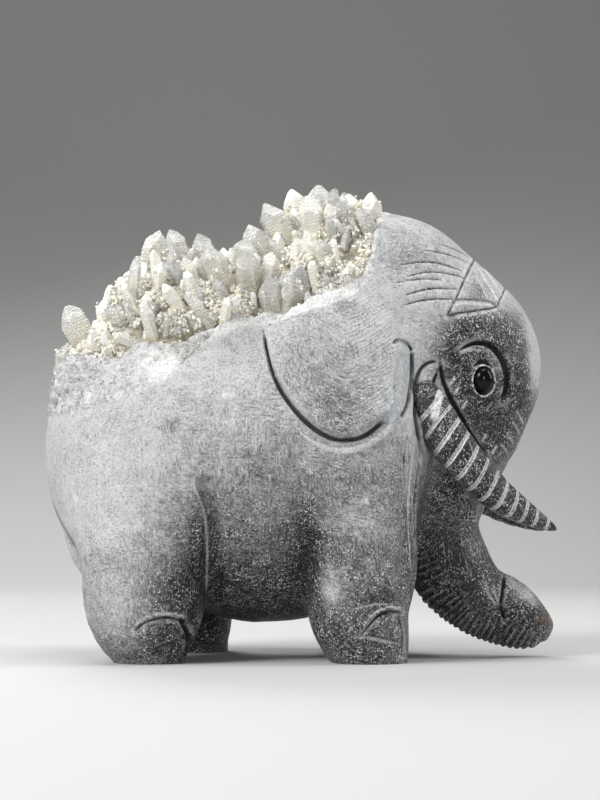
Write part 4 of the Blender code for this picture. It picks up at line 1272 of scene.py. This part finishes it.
def flush_quartz(n):
    """The colour of the quartz that is ground flush with the stone, and how its broken facets tilt."""
    facet, middle = n.cells(3.1, "F1", "Color", "Position")
    crack = n.cells(3.1, "DISTANCE_TO_EDGE", "Distance")[0]
    split = n.cells(4.3, "DISTANCE_TO_EDGE", "Distance")[0]
    tone = n.add("ShaderNodeSeparateColor", {"Color": facet})
    ice = n.mix(tone.step(0.15, 0.85), (0.66, 0.655, 0.655, 1), (0.40, 0.39, 0.4, 1))
    ice = n.mix(n.noise(1.0, 3.0, 0.7).step(0.42, 0.6), ice, (0.62, 0.612, 0.605, 1))
    ice = n.mix(crack.step(0.05, 0.01) * n.noise(3.5, 2.0).step(0.4, 0.54), ice, (0.84, 0.84, 0.83, 1))
    lines = split.step(0.035, 0.012) * n.noise(2.6, 2.0).step(0.4, 0.55)
    ice = n.mix(lines * 0.6, ice, (0.2, 0.185, 0.195, 1))
    ice = n.mix(n.specks(1.2, 0.3, 0.4) * 0.6, ice, (0.14, 0.13, 0.13, 1))
    turn = n.vector("SUBTRACT", facet, (0.5, 0.5, 0.5))
    away = n.vector("SUBTRACT", n.place, middle)
    return ice, n.vector("DOT_PRODUCT", turn, away, "Value") * 1000.0


def bed_crust(n, clouds, deep):
    """The cream colour of the crust that the crystals stand in, darkened in its hollows as painted shade."""
    cream = n.mix(n.noise(2.4, 4.0, 0.7).step(0.38, 0.62), (0.9, 0.87, 0.76, 1), (0.74, 0.67, 0.5, 1))
    cream = n.mix(clouds.step(0.48, 0.62), cream, (0.76, 0.75, 0.7, 1))
    cream = n.mix(n.noise(1.3, 2.0).step(0.64, 0.74), cream, (0.3, 0.22, 0.13, 1))
    # Painted shade in the bed's hollows.
    return n.mix(deep * 0.4, cream, (0.3, 0.26, 0.18, 1))


def stone_material():
    n = Nodes("carved_stone")
    dark_and_shade, shade, chalk_and_highlight, bed, flush, band, ear, chisel, rust, deep = [n.attribute(name) for name in SURFACE]

    clouds = n.noise(15, 4.0, 0.6)
    blotches = n.noise(3.4, 4.0, 0.65)
    grain = n.noise(0.75, 2.0, 0.6).step(0.3, 0.7)
    strokes = n.blend(n.noise(11, 2.0).step(0.4, 0.6), n.streaks(78, 0.45, 2.6), n.streaks(8, 0.45, 3.2))
    depth = dark_and_shade + (clouds - 0.5) * 0.4 + (strokes - 0.5) * 0.95 + (blotches - 0.5) * 0.5
    depth = n.math("ADD", depth, (grain - 0.5) * 0.16, clamp=True)
    ramp = n.node("ShaderNodeValToRGB", {"Fac": depth})
    stops = ramp.color_ramp.elements
    stops[0].color = (0.56, 0.56, 0.55, 1)
    stops[1].color = (0.006, 0.006, 0.007, 1)
    for position, grey in ((0.2, 0.35), (0.42, 0.145), (0.65, 0.03), (0.82, 0.011)):
        stop = stops.new(position)
        stop.color = (grey * 0.985, grey, grey * 1.03, 1)
    colour = Value(n, ramp.outputs[0])

    where = n.noise(10, 2.0)
    upright = n.scratches(14, 0.42, 4.0, 0.06) * where.step(0.36, 0.56)
    slanting = n.scratches(-42, 0.42, 4.0, 0.06) * where.step(0.6, 0.44)
    level = n.scratches(78, 0.46, 4.0, 0.07) * n.noise(14, 2.0).step(0.45, 0.6)
    marks = n.most(n.most(upright, slanting), level)
    wave = n.math("SINE", chisel * (2 * math.pi / CHISEL_PITCH) + n.noise(5.5, 3.0) * 13.0)
    chiselled = wave.step(0.15, 0.85) * ear * n.noise(2.2, 3.0).step(0.46, 0.62)
    marks = n.most(marks * (1.0 - ear * 0.6), chiselled * 0.6)
    # Painted shade in the troughs of the ear's chisel marks.
    trough_shade = wave.step(-0.3, -0.9) * ear * n.noise(3.1).step(0.4, 0.6)
    colour = n.mix(marks * 0.48, colour, (0.58, 0.58, 0.56, 1))
    colour = n.mix(trough_shade * 0.2, colour, (0.05, 0.05, 0.05, 1))

    pepper = n.most(n.specks(0.62, 0.4, 0.42), n.specks(1.3, 0.25) * 0.8)
    pepper = pepper * n.noise(5, 3.0).step(0.36, 0.62, 0.2, 0.6)
    colour = n.mix(pepper, colour, (0.06, 0.06, 0.058, 1))
    salt = n.most(n.specks(0.62, 0.55, 0.44), n.specks(1.1, 0.35) * 0.9)
    salt = salt * n.noise(4.2, 4.0, 0.65).step(0.4, 0.62, 0.2, 1.0) * dark_and_shade.step(0.7, 1.0, 1.0, 0.7)
    colour = n.mix(salt * dark_and_shade.step(0.05, 0.6, 0.5, 1.0), colour, (0.74, 0.75, 0.74, 1))

    sheet = n.mix(n.noise(1.6, 3.0).step(0.4, 0.65), (0.40, 0.42, 0.44, 1), (0.55, 0.57, 0.59, 1))
    colour = n.mix(band * 0.9, colour, sheet)
    # Painted shade in the cuts, the creases, the trunk's folds and the eye holes.
    colour = n.mix(shade * 0.94, colour, (0.005, 0.005, 0.006, 1))
    # Chalk, and the painted highlight along the dark cuts' edges.
    dust_and_highlight = chalk_and_highlight * n.noise(0.8, 3.0, 0.7).step(0.34, 0.56, 0.3, 1.0)
    colour = n.mix(dust_and_highlight, colour, (0.8, 0.8, 0.78, 1))
    colour = n.mix(rust * blotches.step(0.35, 0.55), colour, (0.15, 0.075, 0.035, 1))
    colour = n.mix(bed, colour, bed_crust(n, clouds, deep))
    ice, tilt = flush_quartz(n)
    colour = n.mix(flush, colour, ice)

    rough = depth.step(0.1, 0.9, 0.62, 0.34) + marks * 0.12
    for share, value in ((band, 0.25), (chalk_and_highlight, 0.7), (bed, 0.5), (flush, 0.3)):
        rough = n.blend(share, rough, value)
    normal = n.bump(grain, 0.00012)
    normal = n.bump(blotches, 0.00035, normal)
    normal = n.bump(marks, 0.00016, normal)
    normal = n.bump(wave * ear * 0.5, 0.0001, normal)
    normal = n.bump(n.noise(1.0, 5.0, 0.75) * bed, 0.0014, normal)
    normal = n.bump(tilt * flush, 0.0007, normal)
    n.plain(Base_Color=colour, Roughness=rough, Normal=normal, IOR=1.5, Specular_IOR_Level=0.3)
    return n.material


def quartz_material(name, clear, tint, cloud_tint, gloss, veil):
    """Quartz that is see-through by a plain transmission value, with worn edges that are frosted and painted
    white as a highlight too, striae and pale veils.
    """
    n = Nodes(name)
    rise, worn, tone = n.attribute("rise"), n.attribute("worn"), n.attribute("tone")
    veils = n.noise(3.2, 5.0, 0.7).step(0.52 - veil, 0.64 - veil)
    # The worn edges: frosted, and painted white as a highlight as well.
    frost_and_highlight = worn * n.noise(1.3, 3.0, 0.7).step(0.3, 0.5, 0.35, 1.0)
    specks = n.noise(0.7, 2.0, 0.6).step(0.6, 0.7)
    stain = rise.step(-0.5, -14.0) * n.noise(2.0, 4.0).step(0.3, 0.55)
    colour = n.mix(tone * 0.4, tint, (0.84, 0.84, 0.83, 1))
    colour = n.mix(veils * 0.7, colour, cloud_tint)
    colour = n.mix(stain, colour, (0.88, 0.83, 0.68, 1))
    colour = n.mix(n.most(frost_and_highlight, specks * 0.7), colour, (0.97, 0.97, 0.96, 1))
    rough = n.most(frost_and_highlight, veils * 0.45) * 0.5 + gloss
    striae = n.math("SINE", rise * 6.0 + n.noise(6.0, 2.0) * 9.0)
    normal = n.bump(n.noise(1.2, 3.0, 0.6), 0.0003, n.bump(striae, 0.00004))
    n.plain(Base_Color=colour, Normal=normal, Roughness=rough, IOR=1.54, Transmission_Weight=clear)
    return n.material


def crumb_material(name, tint, second, third, clear, roughness):
    n = Nodes(name)
    tone = n.attribute("tone")
    colour = n.mix(tone.step(0.0, 0.6), tint, second)
    colour = n.mix(tone.step(0.75, 1.0), colour, third)
    colour = n.mix(n.noise(6, 3.0).step(0.45, 0.65), colour, (0.82, 0.81, 0.76, 1))
    rough = n.noise(0.8, 2.0).step(0.3, 0.7, roughness, roughness + 0.25)
    normal = n.bump(n.noise(0.4, 2.0), 0.0001)
    n.plain(Base_Color=colour, Roughness=rough, IOR=1.54, Transmission_Weight=clear, Normal=normal)
    return n.material


def glass_material():
    n = Nodes("black_glass")
    colour = n.mix(n.noise(1.5, 2.0), (0.002, 0.002, 0.002, 1), (0.005, 0.005, 0.006, 1))
    normal = n.bump(n.noise(2.5, 2.0), 0.00001)
    n.plain(Base_Color=colour, Roughness=0.1, IOR=1.45, Specular_IOR_Level=0.2, Normal=normal)
    return n.material


def dress(piece, material, node):
    piece.data.materials.append(material)
    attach(piece, "root")
    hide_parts(node)


# Room, lights and camera


def build_floor():
    """A pale floor that curves up into a grey wall far behind the figure."""
    n = Nodes("pale_floor")
    height = n.add("ShaderNodeSeparateXYZ", {"Vector": n.place}, "Z")
    pale = n.mix(n.noise(400, 3.0), (0.50, 0.50, 0.49, 1), (0.54, 0.54, 0.53, 1))
    colour = n.mix(height.step(0.0, 0.45), pale, (0.285, 0.285, 0.275, 1))
    n.plain(Base_Color=colour, Roughness=0.8, Normal=n.bump(n.noise(0.8, 2.0), 0.00003))
    reach, wall, bend, corner_steps = 2.5, 1.4, 0.7, 24
    outline = [(-reach, 0.0)]
    for step in range(corner_steps + 1):
        angle = step / corner_steps * math.pi / 2
        outline.append((wall - bend + bend * math.sin(angle), bend - bend * math.cos(angle)))
    outline.append((wall, reach))
    points = [(x, y, z) for x in (-reach, reach) for y, z in outline]
    count = len(outline)
    faces = [(i, i + count, i + count + 1, i + 1) for i in range(count - 1)]
    mesh = bpy.data.meshes.new("pale_floor")
    mesh.from_pydata(points, [], faces)
    mesh.materials.append(n.material)
    mesh.shade_smooth()
    new_object("pale_floor", mesh)


def add_light(name, place, towards, size, energy):
    light = bpy.data.lights.new(name, "AREA")
    light.shape = "RECTANGLE"
    light.size, light.size_y = size
    light.energy = energy
    lamp = bpy.data.objects.new(name, light)
    lamp.location = place
    lamp.rotation_euler = (Vector(towards) - Vector(place)).to_track_quat("-Z", "Y").to_euler()
    bpy.context.scene.collection.objects.link(lamp)


def add_lights():
    middle = (0, 0, 0.08)
    add_light("key", (-0.75, -0.55, 0.75), middle, (0.45, 0.45), 12.0)
    add_light("overhead", (0.1, -0.1, 1.1), middle, (0.6, 0.6), 4.6)
    add_light("rim", (0.75, -0.05, 0.45), middle, (0.2, 0.6), 3.2)
    add_light("back", (-0.35, 0.7, 0.85), (0, 0, 0.13), (0.5, 0.5), 7.0)
    add_light("front_fill", (0.3, -1.1, 0.25), middle, (0.13, 0.22), 2.2)
    world = bpy.data.worlds.new("room")
    world.use_nodes = True
    background = world.node_tree.nodes["Background"]
    background.inputs["Color"].default_value = (0.8, 0.82, 0.85, 1)
    background.inputs["Strength"].default_value = 0.24
    bpy.context.scene.world = world
    bpy.context.scene.view_settings.view_transform = "Standard"


CAMERA_AT = (12.08, -592.0, 41.8)  # in parts
CAMERA_RISE = 4.3  # degrees it looks up
PICTURE_HIGH = 800
FOCAL_PIXELS = 1750
SENSOR = 36.0


def add_camera():
    data = bpy.data.cameras.new("camera")
    data.sensor_width = SENSOR
    data.lens = FOCAL_PIXELS / PICTURE_HIGH * SENSOR
    data.clip_start = 0.01
    camera = bpy.data.objects.new("camera", data)
    camera.location = Vector(CAMERA_AT) * PART + SHIFT
    camera.rotation_euler = (math.radians(90 + CAMERA_RISE), 0, 0)
    bpy.context.scene.collection.objects.link(camera)
    bpy.context.scene.camera = camera


def main():
    stone, risen, normals, surface = build_stone()
    stone_look = stone_material()
    dress(stone, stone_look, NODE)
    for name, side in (("tusk_right", -1), ("tusk_left", 1)):
        dress(build_tusk(name, side), stone_look, NODE)
    clear = quartz_material("quartz_clear", 0.62, (0.98, 0.98, 0.975, 1), (0.98, 0.97, 0.93, 1), 0.1, 0.02)
    milky = quartz_material("quartz_milky", 0.18, (0.97, 0.96, 0.9, 1), (0.96, 0.92, 0.8, 1), 0.2, 0.06)
    pieces, large = build_points(risen, normals, surface)
    for piece, look in zip(pieces, (clear, milky)):
        dress(piece, look, NODE)
    creams = (0.95, 0.92, 0.82, 1), (0.92, 0.87, 0.73, 1), (0.76, 0.68, 0.52, 1)
    whites = (0.92, 0.92, 0.9, 1), (0.8, 0.8, 0.78, 1), (0.7, 0.68, 0.6, 1)
    crust = crumb_material("crust", *creams, 0.0, 0.5)
    white = crumb_material("white_crumbs", *whites, 0.35, 0.12)
    for piece, look in zip(build_crumbs(risen, normals, surface, large), (crust, white)):
        dress(piece, look, NODE)
    glass = glass_material()
    for hand, side in (("right", -1), ("left", 1)):
        dress(build_eye("bead_" + hand, side), glass, "eye_" + hand)
    build_floor()
    add_lights()
    add_camera()


main()
